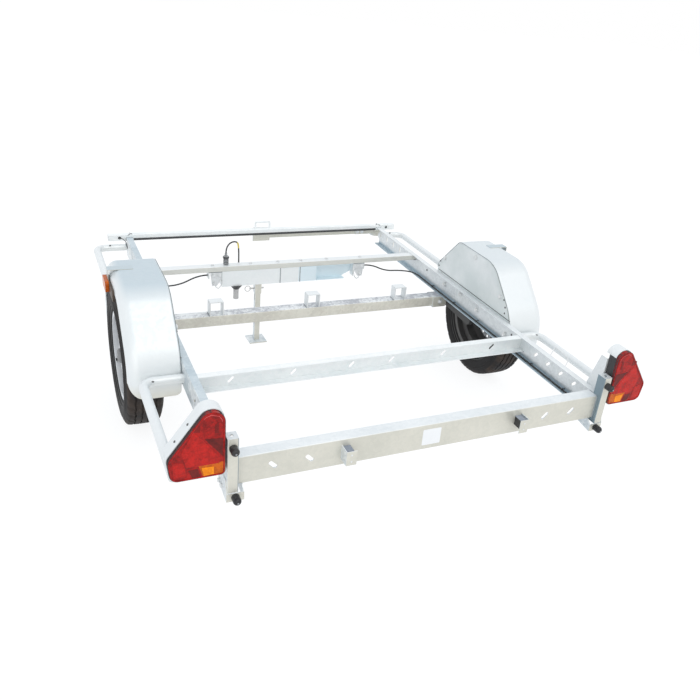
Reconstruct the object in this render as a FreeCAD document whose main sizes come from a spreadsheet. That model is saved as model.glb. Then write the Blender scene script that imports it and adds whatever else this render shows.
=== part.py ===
import FreeCAD, Part
import Sketcher
import math
import os

# Open-frame boat trailer with independent trailing-arm wheels, seen with its drawbar swung aside.
# Millimetres. +X is the right side, +Y is forward to the tow end, +Z is up.
# The members are laid out from a datum: the back face of the rear crossbar (y = 0), the centre
# plane (x = 0) and the top of the side rails (z = 0). Every piece is then placed so that the
# origin of the part is the centre of its outline on the floor.

doc = FreeCAD.newDocument("boat_trailer")
sheet = doc.addObject("Spreadsheet::Sheet", "Sizes")


class Size:
    """A dimension together with the spreadsheet expression that it comes from."""

    def __init__(self, value, text):
        self.value = value
        self.text = text

    def __add__(self, other):
        other = as_size(other)
        return Size(self.value + other.value, f"({self.text} + {other.text})")

    def __radd__(self, other):
        return as_size(other) + self

    def __sub__(self, other):
        other = as_size(other)
        return Size(self.value - other.value, f"({self.text} - {other.text})")

    def __rsub__(self, other):
        return as_size(other) - self

    def __mul__(self, other):
        other = as_size(other)
        return Size(self.value * other.value, f"({self.text} * {other.text})")

    def __rmul__(self, other):
        return as_size(other) * self

    def __truediv__(self, other):
        other = as_size(other)
        return Size(self.value / other.value, f"({self.text} / {other.text})")

    def __neg__(self):
        return Size(-self.value, f"(0 - {self.text})")


def as_size(number):
    """A Size from a plain number, such as a sign, a share or zero."""
    if isinstance(number, Size):
        return number
    return Size(float(number), repr(float(number)))


row_count = 0


def size(name, value):
    """One named driving dimension in the spreadsheet."""
    global row_count
    row_count += 1
    sheet.set(f"A{row_count}", str(value))
    sheet.setAlias(f"A{row_count}", name)
    return Size(float(value), f"Sizes.{name}")


# Shared material and fits
steel = size("channel_steel", 3)
sheet_steel = size("sheet_steel", 2)
seat_gap = size("seat_gap", 0.3)
cut_over = size("cut_over", 5)

# Side rails: cold-formed channels, web outside, open to the middle
half_width = size("frame_half_width", 720)
rail_high = size("rail_height", 98)
rail_flange = size("rail_flange", 30)
rail_front = size("rail_front", 2037)
bend = size("channel_bend_radius", 4)
slot_long = size("slot_length", 30)
slot_wide = size("slot_width", 11)
slot_level = size("slot_level", 44)
rail_slot_pitch = size("rail_slot_pitch", 85)
rail_slot_rear = size("rail_rear_slot_start", 164)
rail_slot_front = size("rail_front_slot_start", 1732)
rail_slot_count = size("rail_slot_count", 4)
slope_share = 0.70711
QUARTER, HALF, WHOLE = 90, 180, 360

# Rear crossbar and corner posts
rear_deep = size("rear_crossbar_flange", 47)
rear_slot_outer = size("rear_slot_outer", 574)
rear_slot_level = size("rear_slot_level", 49)
rear_slot_long = size("rear_slot_length", 34)
rear_slot_wide = size("rear_slot_width", 14)
rear_slot_inner = size("rear_slot_inner", 455)
post_wide = size("post_width", 34)
post_back = size("post_back", 20)
post_front = size("post_front", 20)
post_up = size("post_height_above", 82)
post_down = size("post_height_below", 111)
post_hole = size("post_hole_diameter", 11)
post_hole_in = size("post_hole_setback", 17)

# Straps under the posts that carry the lower buffers
strap_down = size("strap_bottom", 142)
strap_top = size("strap_back_top", 113)
strap_reach = size("strap_reach", 76)
strap_rise = size("strap_outer_top", 64)
strap_in = half_width - size("strap_inset", 52)
strap_back = size("strap_back", 22)
strap_step = size("strap_step_back", 4)
strap_slope = size("strap_slope_back", 8)
strap_nose = size("strap_nose_bottom", 128)
strap_shoulder = size("strap_shoulder_top", 70)

# Rubber buffers that the frame stands on when it is stored on end
buffer_dia = size("buffer_diameter", 26)
buffer_long = size("buffer_length", 34)
buffer_high = size("buffer_upper_level", 50)
buffer_low = size("buffer_lower_level", 127)

# Third cross member: channel open to the rear
third_back = size("third_member_back", 500)
third_deep = size("third_member_flange", 35)
third_high = size("third_member_height", 66)
third_slot_inner = size("third_slot_inner", 87)
third_slot_pitch = size("third_slot_pitch", 239)

# Second cross member: flat tube
second_back = size("second_member_back", 1533)
second_deep = size("second_member_depth", 46)
second_high = size("second_member_height", 26)
tube_wall = size("tube_wall", 2.5)

# Front crossbar across the ends of the rails
front_deep = size("front_crossbar_depth", 32)
front_high = size("front_crossbar_height", 32)
front_top = size("front_crossbar_top", 15)
front_half = half_width + size("front_crossbar_overhang", 86)
front_hole_out = half_width + size("front_hole_outset", 33)
front_hole_dia = size("front_hole_diameter", 14)

# Tie loop on the front crossbar
loop_half = size("tie_loop_half_width", 44)
loop_high = size("tie_loop_height", 40)
loop_rod = size("tie_loop_rod", 8)

# Axle beam, its rail brackets and the three bunk saddles
axle_back = size("axle_beam_back", 1190)
axle_deep = size("axle_beam_depth", 60)
axle_high = size("axle_beam_height", 50)
axle_half = half_width + size("axle_beam_overhang", 8)
clip_in = half_width - size("axle_bracket_inset", 74)
clip_plate = size("axle_bracket_plate", 5)
saddle_wide = size("saddle_width", 62)
saddle_high = size("saddle_height", 66)
saddle_deep = size("saddle_depth", 44)
saddle_side = size("saddle_spacing", 455)
saddle_plate = size("saddle_plate", 4)

# Wheels
wheel_x = half_width + size("wheel_outset", 117)
wheel_y = size("wheel_from_rear", 995)
wheel_drop = size("wheel_centre_drop", 142)
tyre_radius = size("tyre_radius", 281)
tyre_wide = size("tyre_width", 145)
tread_wide = size("tread_width", 112)
tread_crown = size("tread_crown", 2.4)
sidewall_shares = ((0.75, 0.16), (0.9, 0.27), (1, 0.5), (0.965, 0.72), (0.88, 0.895))
groove_shares = (1.5, 0.5, -0.5, -1.5)
rim_seat = size("rim_seat_radius", 165)
bead_wide = size("tyre_bead_width", 109)
groove_deep = size("tread_groove_depth", 6)
groove_wide = size("tread_groove_width", 6)
groove_pitch = size("tread_groove_pitch", 25)
flange_radius = size("rim_flange_radius", 181)
rim_wide = size("rim_width", 118)
rim_steel = size("rim_steel", 3.5)
well_radius = size("rim_well_radius", 144)
well_wide = size("rim_well_width", 42)
well_ramp = size("rim_well_ramp", 9)
disc_out = size("disc_outset", 30)
disc_face = size("disc_face_radius", 82)
disc_crown_in = size("disc_crown_inner_radius", 98)
disc_crown = size("disc_crown_radius", 119)
disc_rise = size("disc_crown_rise", 14)
disc_bore = size("disc_bore_radius", 30)
stud_circle = size("stud_circle_radius", 50)
stud_hole = size("stud_hole_radius", 7)
stud_count = size("stud_count", 4)
vent_hole = size("vent_hole_radius", 7.5)
vent_circle = size("vent_circle_radius", 108.5)
vent_count = size("vent_count", 16)
hub_radius = size("hub_radius", 68)
hub_long = size("hub_length", 62)
hub_nose = size("hub_nose_radius", 27)
hub_nose_long = size("hub_nose_length", 34)
hub_flange = size("hub_flange", 15)
hub_crown = size("hub_cap_rounding", 6)
hub_end_gap = size("hub_end_gap", 3)
drum_share = 0.62
stub_radius = size("stub_axle_radius", 15)
stub_gap = size("stub_axle_gap", 0.05)

# Trailing arms
arm_in = half_width + size("arm_outset", 16)
arm_thick = size("arm_thickness", 22)
arm_boss = size("arm_boss_radius", 34)
arm_tip = size("arm_tip_radius", 27)

# Mudguards: folded with 45 degree facets, their flat inner side against the rail's web
guard_in = half_width + sheet_steel
guard_out = half_width + size("guard_width", 187)
guard_skin = size("guard_skin", 2)
guard_rear = size("guard_rear_wall", 625)
guard_front = size("guard_front_wall", 1311)
guard_top = size("guard_crown_level", 213)
guard_chamfer = size("guard_rear_chamfer", 202)
guard_slope = size("guard_front_chamfer", 172)
guard_foot = size("guard_foot_drop", 137)
guard_rear_bend = size("guard_rear_bend_radius", 200)
guard_crown_bend = size("guard_crown_bend_radius", 150)
guard_front_bend = size("guard_front_bend_radius", 60)
guard_shoulder = size("guard_shoulder_radius", 40)
guard_lip = size("guard_lip", 50)
guard_rim = size("guard_inner_rim", 20)
guard_round = size("guard_inner_edge_radius", 6)
guard_corner_out = size("guard_outer_corner_radius", 60)
guard_corner_in = size("guard_inner_corner_radius", 24)
plate_foot = size("guard_plate_foot", 92)
octagon_share = 0.41421

# Side tubes
tube_radius = size("side_tube_radius", 17)
tube_x = half_width + size("side_tube_outset", 145)
tube_level = size("side_tube_level", 55)
tube_bend = size("side_tube_bend_radius", 45)
rear_tube_y = size("rear_tube_from_rear", 604)
front_tube_y = size("front_tube_from_rear", 2016)

# Tail lamps
lamp_in = half_width + size("lamp_outset", 7)
lamp_bottom = size("lamp_bottom", 35)
lamp_wide = size("lamp_width", 155)
lamp_bulge = size("lamp_outer_bulge", 9)
lamp_bulge_high = size("lamp_outer_corner_height", 70)
lamp_apex = size("lamp_apex_height", 294)
lamp_tip_radius = size("lamp_tip_radius", 37)
lamp_side_radius = size("lamp_side_radius", 30)
lamp_low_radius = size("lamp_low_radius", 24)
lamp_inner_radius = size("lamp_inner_radius", 14)
lens_back = size("lens_back", 20)
lens_deep = size("lens_depth", 15)
plate_lamp_round = size("plate_lamp_round", 6)
housing_deep = size("lamp_housing_depth", 34)
amber_wide_top = size("amber_width_top", 78)
amber_wide_low = size("amber_width_bottom", 62)
amber_high = size("amber_height", 46)

# Lamp brackets
band_gap = size("lamp_band_gap", 1)
band_front = size("lamp_band_front", 46)
bracket_low = size("lamp_bracket_bottom", 52)
bracket_wall_low = size("lamp_wall_front_low", 112)
bracket_wall_top = size("lamp_wall_front_top", 62)
bracket_wall_high = size("lamp_wall_height", 138)
bracket_wall_foot = size("lamp_wall_foot", 34)

# Number-plate lamp guards and lamps
plate_out = size("plate_guard_outer", 349)
plate_in = size("plate_guard_inner", 313)
plate_deep = size("plate_guard_depth", 45)
plate_top = size("plate_guard_top", 20)
plate_low = size("plate_guard_bottom", 72)
plate_lamp_deep = size("plate_lamp_depth", 34)
plate_lamp_wide = size("plate_lamp_width", 26)
plate_lamp_high = size("plate_lamp_height", 38)

# Side marker lamps
marker_y = size("marker_from_rear", 1040)
marker_long = size("marker_length", 95)
marker_high = size("marker_height", 44)
marker_deep = size("marker_depth", 14)
marker_base = size("marker_base_depth", 8)
marker_tail = size("marker_base_tail", 96)
marker_top = size("marker_top_above_rail", 176)
marker_tab = size("marker_tab_length", 46)
marker_tab_wide = size("marker_tab_width", 40)

# Stowage beam under the second member and its hangers
beam_half = size("stowage_beam_half_length", 345)
beam_seam = size("stowage_beam_seam", 140)
beam_drop = size("stowage_beam_drop", 79)
beam_chamfer = size("stowage_beam_chamfer", 26)
beam_front_gap = size("stowage_beam_front_gap", 4)
hanger_wide = size("hanger_width", 66)
hanger_plate = size("hanger_plate", 5)
hanger_drop = size("hanger_drop", 70)

# Funnel socket under the stowage beam
funnel_x = size("funnel_from_centre", 271)
funnel_top = size("funnel_top_radius", 32)
funnel_low = size("funnel_low_radius", 15)
funnel_high = size("funnel_height", 22)
stub_tube = size("funnel_tube_radius", 13)
stub_tube_long = size("funnel_tube_length", 52)

# Prop leg
leg_x = size("leg_from_centre", 162)
leg_wide = size("leg_width", 26)
leg_wall = size("leg_wall", 2.5)
leg_gap = size("leg_running_gap", 0.5)
leg_travel = size("leg_travel", 60)
leg_top_rise = size("leg_top_above_beam_floor", 8)
sleeve_wall = size("sleeve_wall", 2.5)
sleeve_long = size("sleeve_length", 52)
foot_wide = size("foot_width", 90)
foot_thick = size("foot_thickness", 5)
pin_radius = size("leg_pin_radius", 4)
pin_gap = size("leg_pin_gap", 0.4)
pin_drop = size("leg_pin_below_beam", 28)
pin_left = size("leg_pin_left_reach", 40)
pin_right = size("leg_pin_right_reach", 32)
ring_radius = size("pin_ring_radius", 14)
ring_wire = size("pin_ring_wire", 1.6)

# Swing-away drawbar
hinge_reach = size("hinge_pin_reach", 53)
hinge_plate = size("hinge_back_plate", 6)
hinge_half = size("hinge_half_width", 48)
ear_thick = size("hinge_ear_thickness", 6)
ear_gap = size("hinge_ear_gap", 0.8)
bar_wide = size("drawbar_width", 60)
bar_high = size("drawbar_height", 30)
bar_level = size("drawbar_centre_drop", 40)
bar_long = size("drawbar_length", 640)
bar_tail = size("drawbar_tail", 28)
hinge_pin = size("hinge_pin_radius", 8)
hinge_gap = size("hinge_pin_gap", 0.1)
hinge_head = size("hinge_pin_head_radius", 12)
hinge_head_high = size("hinge_pin_head_height", 5)

# Coupling head
head_long = size("coupling_length", 150)
head_wall = size("coupling_wall", 4)
socket_radius = size("socket_radius", 25)
socket_drop = size("socket_centre_drop", 12)
socket_low = size("socket_skirt", 20)
head_lap = size("coupling_lap", 62)
lever_long = size("lever_length", 96)
lever_wide = size("lever_width", 24)
lever_high = size("lever_height", 9)
lever_nose = size("lever_nose_height", 5.4)

# Wiring
wire_radius = size("wire_radius", 3.5)
plug_radius = size("plug_radius", 12)
plug_long = size("plug_length", 46)
gland_radius = size("plug_gland_radius", 6)
gland_long = size("plug_gland_length", 14)
loom_in = size("loom_from_web", 14)
loom_level = size("loom_hanger_level", 50)
loom_sag = size("loom_sag", 38)
loom_run = size("loom_run_in", 56)
loom_start_share = 0.16
loom_mid_share = 0.45
loom_late_share = 0.75
lead_rise = size("plug_lead_rise", 50)
lead_reach = size("plug_lead_reach", 78)
lead_drop = size("plug_lead_drop", 80)
lead_early_share = 0.3
lead_late_share = 0.72
lead_clear = size("plug_lead_clearance", 32)
plug_x = size("plug_from_centre", 322)

doc.recompute()

# The part's own frame: the middle of its length, on the floor
floor = wheel_drop + tyre_radius
hinge_y = rail_front + hinge_reach
front_most = hinge_y + bar_wide / 2 + head_wall
rear_most = strap_back + buffer_long
middle_y = (front_most - rear_most) / 2
pieces = []


def bind(item, prop, length):
    """Tie one property of an object to the spreadsheet."""
    item.setExpression(prop, as_size(length).text)


def place(item, x=0, y=0, z=0):
    """Stand a finished piece in the part's own frame and list it for writing."""
    bind(item, "Placement.Base.x", x)
    bind(item, "Placement.Base.y", y - middle_y)
    bind(item, "Placement.Base.z", z + floor)
    pieces.append(item)


PLANES = {"X": "YZ_Plane", "Y": "XZ_Plane", "Z": "XY_Plane"}


def new_body(label):
    return doc.addObject("PartDesign::Body", label)


def new_sketch(body, axis, at=0):
    """An empty sketch square to an axis, at a distance along it."""
    sketch = body.newObject("Sketcher::SketchObject", body.Name + "_sketch")
    plane = [item for item in body.Origin.OriginFeatures if item.Role == PLANES[axis]][0]
    sketch.AttachmentSupport = [(plane, "")]
    sketch.MapMode = "FlatFace"
    away = -as_size(at) if axis == "Y" else as_size(at)
    bind(sketch, "AttachmentOffset.Base.z", away)
    return sketch


def hold(sketch, kind, *where):
    """One dimension of a sketch, tied to the spreadsheet; the last argument is its length."""
    length = as_size(where[-1])
    index = sketch.addConstraint(Sketcher.Constraint(kind, *where[:-1], length.value))
    sketch.setExpression(f"Constraints[{index}]", length.text)


def outline(sketch, points):
    """A closed outline of straight edges through named points."""
    first = sketch.GeometryCount
    count = len(points)
    vectors = [FreeCAD.Vector(as_size(u).value, as_size(v).value, 0) for u, v in points]
    for index in range(count):
        sketch.addGeometry(Part.LineSegment(vectors[index], vectors[(index + 1) % count]), False)
    for index in range(count):
        following = first + (index + 1) % count
        sketch.addConstraint(Sketcher.Constraint("Coincident", first + index, 2, following, 1))
    for index, (u, v) in enumerate(points):
        hold(sketch, "DistanceX", -1, 1, first + index, 1, u)
        hold(sketch, "DistanceY", -1, 1, first + index, 1, v)
    return sketch


def circle(sketch, u, v, radius):
    """A circle with its centre and radius tied to the spreadsheet."""
    u, v, radius = as_size(u), as_size(v), as_size(radius)
    centre = FreeCAD.Vector(u.value, v.value, 0)
    index = sketch.addGeometry(Part.Circle(centre, FreeCAD.Vector(0, 0, 1), radius.value), False)
    hold(sketch, "DistanceX", -1, 1, index, 3, u)
    hold(sketch, "DistanceY", -1, 1, index, 3, v)
    hold(sketch, "Radius", index, radius)
    return sketch


def link(sketch, one, one_radius, two, two_radius):
    """Two round ends joined by their outer tangents; a slot when the radii are equal."""
    ends = [(as_size(u), as_size(v)) for u, v in (one, two)]
    radii = [as_size(one_radius), as_size(two_radius)]
    centres = [FreeCAD.Vector(u.value, v.value, 0) for u, v in ends]
    run = centres[1] - centres[0]
    along = math.atan2(run.y, run.x)
    lean = math.acos((radii[0].value - radii[1].value) / run.Length)
    left, right = along + lean, along - lean
    turn = 2 * math.pi

    def on(which, angle):
        reach = radii[which].value
        return centres[which] + FreeCAD.Vector(reach * math.cos(angle), reach * math.sin(angle), 0)

    first = sketch.GeometryCount
    normal = FreeCAD.Vector(0, 0, 1)
    round_one = Part.Circle(centres[0], normal, radii[0].value)
    round_two = Part.Circle(centres[1], normal, radii[1].value)
    sketch.addGeometry(Part.ArcOfCircle(round_one, left, right + turn), False)
    sketch.addGeometry(Part.LineSegment(on(0, right), on(1, right)), False)
    sketch.addGeometry(Part.ArcOfCircle(round_two, right, left), False)
    sketch.addGeometry(Part.LineSegment(on(1, left), on(0, left)), False)
    sketch.addConstraint(Sketcher.Constraint("Tangent", first, 2, first + 1, 1))
    sketch.addConstraint(Sketcher.Constraint("Tangent", first + 1, 2, first + 2, 1))
    sketch.addConstraint(Sketcher.Constraint("Tangent", first + 2, 2, first + 3, 1))
    sketch.addConstraint(Sketcher.Constraint("Tangent", first + 3, 2, first, 1))
    for which in (0, 1):
        hold(sketch, "DistanceX", -1, 1, first + 2 * which, 3, ends[which][0])
        hold(sketch, "DistanceY", -1, 1, first + 2 * which, 3, ends[which][1])
        hold(sketch, "Radius", first + 2 * which, radii[which])
    return sketch


def slot(sketch, u, v, long, wide, lean):
    """An oblong slot about a point, leaning 45 degrees; lean is its sign, 0 stands it upright."""
    reach = (long - wide) / 2
    du = reach * (slope_share * lean) if lean else 0
    dv = reach * slope_share if lean else reach
    return link(sketch, (u - du, v - dv), wide / 2, (u + du, v + dv), wide / 2)


def pad(body, sketch, axis, depth):
    """Solid from a sketch towards the positive end of its axis."""
    feature = body.newObject("PartDesign::Pad", body.Name + "_pad")
    feature.Profile = sketch
    bind(feature, "Length", depth)
    feature.Reversed = axis == "Y"
    body.Tip = feature
    return feature


def pocket(body, sketch, axis, depth=None):
    """Cut towards the positive end of the axis, or right through both ways."""
    feature = body.newObject("PartDesign::Pocket", body.Name + "_pocket")
    feature.Profile = sketch
    if depth is None:
        feature.Type = 1
        feature.Midplane = True
    else:
        bind(feature, "Length", depth)
        feature.Reversed = axis != "Y"
    body.Tip = feature
    return feature


def turn(body, points):
    """Revolve an outline in the XZ plane right round the X axis."""
    feature = body.newObject("PartDesign::Revolution", f"{body.Name}_revolution")
    sketch = outline(new_sketch(body, "Y"), points)
    feature.Profile = sketch
    feature.ReferenceAxis = (sketch, ["H_Axis"])
    feature.Angle = WHOLE
    feature.Midplane = True
    body.Tip = feature
    return feature


def in_row(body, feature, reference, length, count):
    """Repeat a feature in a straight row."""
    row = body.newObject("PartDesign::LinearPattern", body.Name + "_row")
    row.Originals = [feature]
    row.Direction = reference
    bind(row, "Length", length)
    bind(row, "Occurrences", count)
    body.Tip = row
    return row


def in_ring(body, feature, sketch, count):
    """Repeat a feature round the wheel's own axis."""
    ring = body.newObject("PartDesign::PolarPattern", body.Name + "_ring")
    ring.Originals = [feature]
    ring.Axis = (sketch, ["N_Axis"])
    ring.Angle = WHOLE
    bind(ring, "Occurrences", count)
    body.Tip = ring
    return ring


def round_edges(body, radius, chosen):
    """Fillet the edges of the body's newest feature that a test picks out."""
    doc.recompute()
    base = body.Tip
    names = [f"Edge{number + 1}" for number, edge in enumerate(base.Shape.Edges) if chosen(edge)]
    if not names:
        raise ValueError(f"{body.Label}: no edge to round")
    feature = body.newObject("PartDesign::Fillet", body.Name + "_fillet")
    feature.Base = (base, names)
    bind(feature, "Radius", radius)
    body.Tip = feature
    return feature


NEAR = 0.01


def runs(axis, *corners):
    """Test for straight edges along an axis that pass through one of the named corners."""
    across = {"X": ("y", "z"), "Y": ("x", "z"), "Z": ("x", "y")}[axis]
    spots = [(as_size(u).value, as_size(v).value) for u, v in corners]

    def chosen(edge):
        ends = [vertex.Point for vertex in edge.Vertexes]
        if len(ends) != 2 or edge.Curve.TypeId != "Part::GeomLine":
            return False
        seen = [tuple(getattr(end, name) for name in across) for end in ends]
        return any(all(math.dist(spot, one) < NEAR for one in seen) for spot in spots)

    return chosen


def block(name, low, high):
    """A plain box between two named corners."""
    item = doc.addObject("Part::Box", name)
    for prop, axis, start, end in zip(("Length", "Width", "Height"), "xyz", low, high):
        bind(item, prop, as_size(end) - start)
        bind(item, f"Placement.Base.{axis}", start)
    return item


TURNS = {
    "X": FreeCAD.Rotation(FreeCAD.Vector(0, 1, 0), 90),
    "Y": FreeCAD.Rotation(FreeCAD.Vector(1, 0, 0), -90),
    "Z": FreeCAD.Rotation(),
}


def rod(name, axis, start, radius, length):
    """A round bar from a named point along an axis."""
    item = doc.addObject("Part::Cylinder", name)
    item.Placement = FreeCAD.Placement(FreeCAD.Vector(), TURNS[axis])
    bind(item, "Radius", radius)
    bind(item, "Height", length)
    for letter, value in zip("xyz", start):
        bind(item, f"Placement.Base.{letter}", value)
    return item


def fuse(name, parts):
    item = doc.addObject("Part::MultiFuse", name)
    item.Shapes = parts
    return item


def cut(name, base, tool):
    item = doc.addObject("Part::Cut", name)
    item.Base = base
    item.Tool = tool
    return item


def rail(side, name):
    """Side rail: channel with its web outside, slotted at both ends."""
    body = new_body(name)
    edge, lip = side * half_width, side * (half_width - rail_flange)
    web = side * (half_width - steel)
    profile = [
        (edge, 0), (lip, 0), (lip, -steel), (web, -steel),
        (web, steel - rail_high), (lip, steel - rail_high), (lip, -rail_high), (edge, -rail_high),
    ]
    pad(body, outline(new_sketch(body, "Y", post_front), profile), "Y", rail_front - front_deep - post_front)
    round_edges(body, bend, runs("Y", (edge, 0), (edge, -rail_high)))
    for start, lean in ((rail_slot_rear, -1), (rail_slot_front, 0)):
        sketch = slot(new_sketch(body, "X"), start, -slot_level, slot_long, slot_wide, lean)
        hole = pocket(body, sketch, "X")
        in_row(body, hole, (sketch, ["H_Axis"]), rail_slot_pitch * (rail_slot_count - 1), rail_slot_count)
    place(body)


def rear_crossbar():
    """Rear crossbar: channel with its slotted web to the back."""
    body = new_body("rear_crossbar")
    half = half_width - post_wide
    profile = [
        (0, 0), (rear_deep, 0), (rear_deep, -steel), (steel, -steel),
        (steel, steel - rail_high), (rear_deep, steel - rail_high), (rear_deep, -rail_high), (0, -rail_high),
    ]
    pad(body, outline(new_sketch(body, "X", -half), profile), "X", half * 2)
    round_edges(body, bend, runs("X", (0, 0), (0, -rail_high)))
    sketch = new_sketch(body, "Y")
    for side in (-1, 1):
        for out in (rear_slot_inner, rear_slot_outer):
            slot(sketch, side * out, -rear_slot_level, rear_slot_long, rear_slot_wide, side)
    pocket(body, sketch, "Y")
    place(body)


SLOTS_A_SIDE = 3


def third_member():
    """Third cross member: slotted channel, open to the back, held inside the rails."""
    body = new_body("third_cross_member")
    half = half_width - steel
    back, front = third_back, third_back + third_deep
    top, low = -steel, -steel - third_high
    profile = [
        (front, top), (back, top), (back, top - steel), (front - steel, top - steel),
        (front - steel, low + steel), (back, low + steel), (back, low), (front, low),
    ]
    pad(body, outline(new_sketch(body, "X", -half), profile), "X", half * 2)
    round_edges(body, bend, runs("X", (front, top), (front, low)))
    sketch = new_sketch(body, "Y")
    for side in (-1, 1):
        for step in range(SLOTS_A_SIDE):
            out = third_slot_inner + third_slot_pitch * step
            slot(sketch, side * out, -slot_level, slot_long, slot_wide, 1)
    pocket(body, sketch, "Y")
    place(body)


def box_tube(name, back, deep, top, high, wall, half):
    """A rectangular tube lying across the frame."""
    body = new_body(name)
    outer = [(back, top), (back + deep, top), (back + deep, top - high), (back, top - high)]
    pad(body, outline(new_sketch(body, "X", -half), outer), "X", half * 2)
    round_edges(body, wall, runs("X", *outer))
    near, far = back + wall, back + deep - wall
    inner = [(near, top - wall), (far, top - wall), (far, top - high + wall), (near, top - high + wall)]
    pocket(body, outline(new_sketch(body, "X"), inner), "X")
    return body


def second_member():
    """Second cross member: flat tube held inside the rails."""
    half = half_width - steel
    place(box_tube("second_cross_member", second_back, second_deep, -steel, second_high, tube_wall, half))


def front_crossbar():
    """Front crossbar across the ends of the rails, with a cable hole near each end."""
    back = rail_front - front_deep
    body = box_tube("front_crossbar", back, front_deep, front_top, front_high, tube_wall, front_half)
    sketch = new_sketch(body, "Y", back)
    for side in (-1, 1):
        circle(sketch, side * front_hole_out, front_top - front_high / 2, front_hole_dia / 2)
    pocket(body, sketch, "Y", tube_wall)
    place(body)


def tie_loop():
    """Small square loop of bar on the middle of the front crossbar."""
    body = new_body("front_tie_loop")
    inner = loop_half - loop_rod
    top = front_top + loop_high
    profile = [
        (-loop_half, front_top), (-loop_half, top), (loop_half, top), (loop_half, front_top),
        (inner, front_top), (inner, top - loop_rod), (-inner, top - loop_rod), (-inner, front_top),
    ]
    start = rail_front - front_deep / 2 - loop_rod / 2
    pad(body, outline(new_sketch(body, "Y", start), profile), "Y", loop_rod)
    round_edges(body, loop_rod / 2, runs("Y", (-loop_half, top), (loop_half, top)))
    place(body)


def post(side, name):
    """Rear corner post: folded upright, open to the front, with a drilled cap."""
    body = new_body(name)
    out, into = side * half_width, side * (half_width - post_wide)
    web_out, web_in = side * (half_width - steel), side * (half_width - post_wide + steel)
    profile = [
        (out, post_front), (out, -post_back), (into, -post_back), (into, post_front),
        (web_in, post_front), (web_in, steel - post_back),
        (web_out, steel - post_back), (web_out, post_front),
    ]
    pad(body, outline(new_sketch(body, "Z", -post_down), profile), "Z", post_down + post_up)
    cap = [(out, post_front), (out, -post_back), (into, -post_back), (into, post_front)]
    pad(body, outline(new_sketch(body, "Z", post_up - steel), cap), "Z", steel)
    round_edges(body, steel, runs("Z", (out, -post_back), (into, -post_back)))
    sketch = circle(new_sketch(body, "Z"), side * (half_width - post_hole_in), 0, post_hole / 2)
    pocket(body, sketch, "Z")
    place(body)


def strap(side, name):
    """Folded strap under a post: a back wall and two cheeks that run forward under the rail."""
    body = new_body(name)
    outer, inner = half_width + steel, strap_in
    near, far = side * inner, side * outer
    back = [(near, -strap_top), (far, -strap_top), (far, -strap_down), (near, -strap_down)]
    pad(body, outline(new_sketch(body, "Y", -strap_back), back), "Y", steel)
    cheek_out = [
        (-strap_back, -strap_down), (-strap_back, -strap_top), (-strap_slope, -strap_shoulder),
        (strap_reach, -strap_rise), (strap_reach, -strap_nose),
    ]
    cheek_in = [
        (-strap_back, -strap_down), (-strap_back, -strap_top), (-strap_step, -rail_high),
        (strap_reach, -rail_high), (strap_reach, -strap_nose),
    ]
    for cheek, near in ((cheek_out, half_width), (cheek_in, inner)):
        start = near if side > 0 else -near - steel
        pad(body, outline(new_sketch(body, "X", start), cheek), "X", steel)
    place(body)


def buffers(side, name):
    """The two rubber buffers of one corner, bullet shaped, pointing back."""
    radius = buffer_dia / 2
    shells = []
    spots = (
        ("upper", half_width - post_wide / 2, post_back, buffer_high),
        ("lower", (half_width + steel + strap_in) / 2, strap_back, -buffer_low),
    )
    for part_name, x, back, level in spots:
        start = (side * x, -back - buffer_long + radius, level)
        stem = rod(f"{name}_{part_name}_stem", "Y", start, radius, buffer_long - radius)
        nose = doc.addObject("Part::Sphere", f"{name}_{part_name}_nose")
        bind(nose, "Radius", radius)
        bind(nose, "Placement.Base.x", side * x)
        bind(nose, "Placement.Base.y", -back - buffer_long + radius)
        bind(nose, "Placement.Base.z", level)
        shells.append(fuse(f"{name}_{part_name}", [stem, nose]))
    pair = doc.addObject("Part::Compound", name)
    pair.Links = shells
    place(pair)


def together(name, parts):
    """A set of like pieces in one node."""
    group = doc.addObject("Part::Compound", name)
    group.Links = parts
    place(group)


def plate_guard(side, name):
    """Folded angle that shields a number-plate lamp, open to the middle and above."""
    body = new_body(name)
    out, into, wall = side * plate_out, side * plate_in, side * (plate_out - sheet_steel)
    lap = sheet_steel - plate_deep
    profile = [(out, 0), (out, -plate_deep), (into, -plate_deep), (into, lap), (wall, lap), (wall, 0)]
    pad(body, outline(new_sketch(body, "Z", -plate_low), profile), "Z", plate_low - plate_top)
    round_edges(body, sheet_steel, runs("Z", (out, -plate_deep)))
    return body


def plate_lamp(side, name):
    """Number-plate lamp inside its guard."""
    body = new_body(name)
    out, into = side * (plate_out - sheet_steel), side * (plate_out - sheet_steel - plate_lamp_wide)
    level = -(plate_top + plate_low) / 2
    low, high = level - plate_lamp_high / 2, level + plate_lamp_high / 2
    profile = [(out, low), (into, low), (into, high), (out, high)]
    pad(body, outline(new_sketch(body, "Y", -plate_lamp_deep), profile), "Y", plate_lamp_deep)
    round_edges(body, plate_lamp_round, runs("Y", (into, low), (into, high)))
    return body


def axle_beam():
    """Axle beam under the rails."""
    place(box_tube("axle_beam", axle_back, axle_deep, -rail_high, axle_high, saddle_plate, axle_half))


def axle_bracket(side, name):
    """Folded bracket that wraps the axle beam under a rail."""
    body = new_body(name)
    back, front = axle_back, axle_back + axle_deep
    top, low = -rail_high, -rail_high - axle_high
    profile = [
        (back - clip_plate, top), (back - clip_plate, low - clip_plate),
        (front + clip_plate, low - clip_plate), (front + clip_plate, top),
        (front, top), (front, low), (back, low), (back, top),
    ]
    start = clip_in if side > 0 else -half_width
    pad(body, outline(new_sketch(body, "X", start), profile), "X", half_width - clip_in)
    return body


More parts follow.
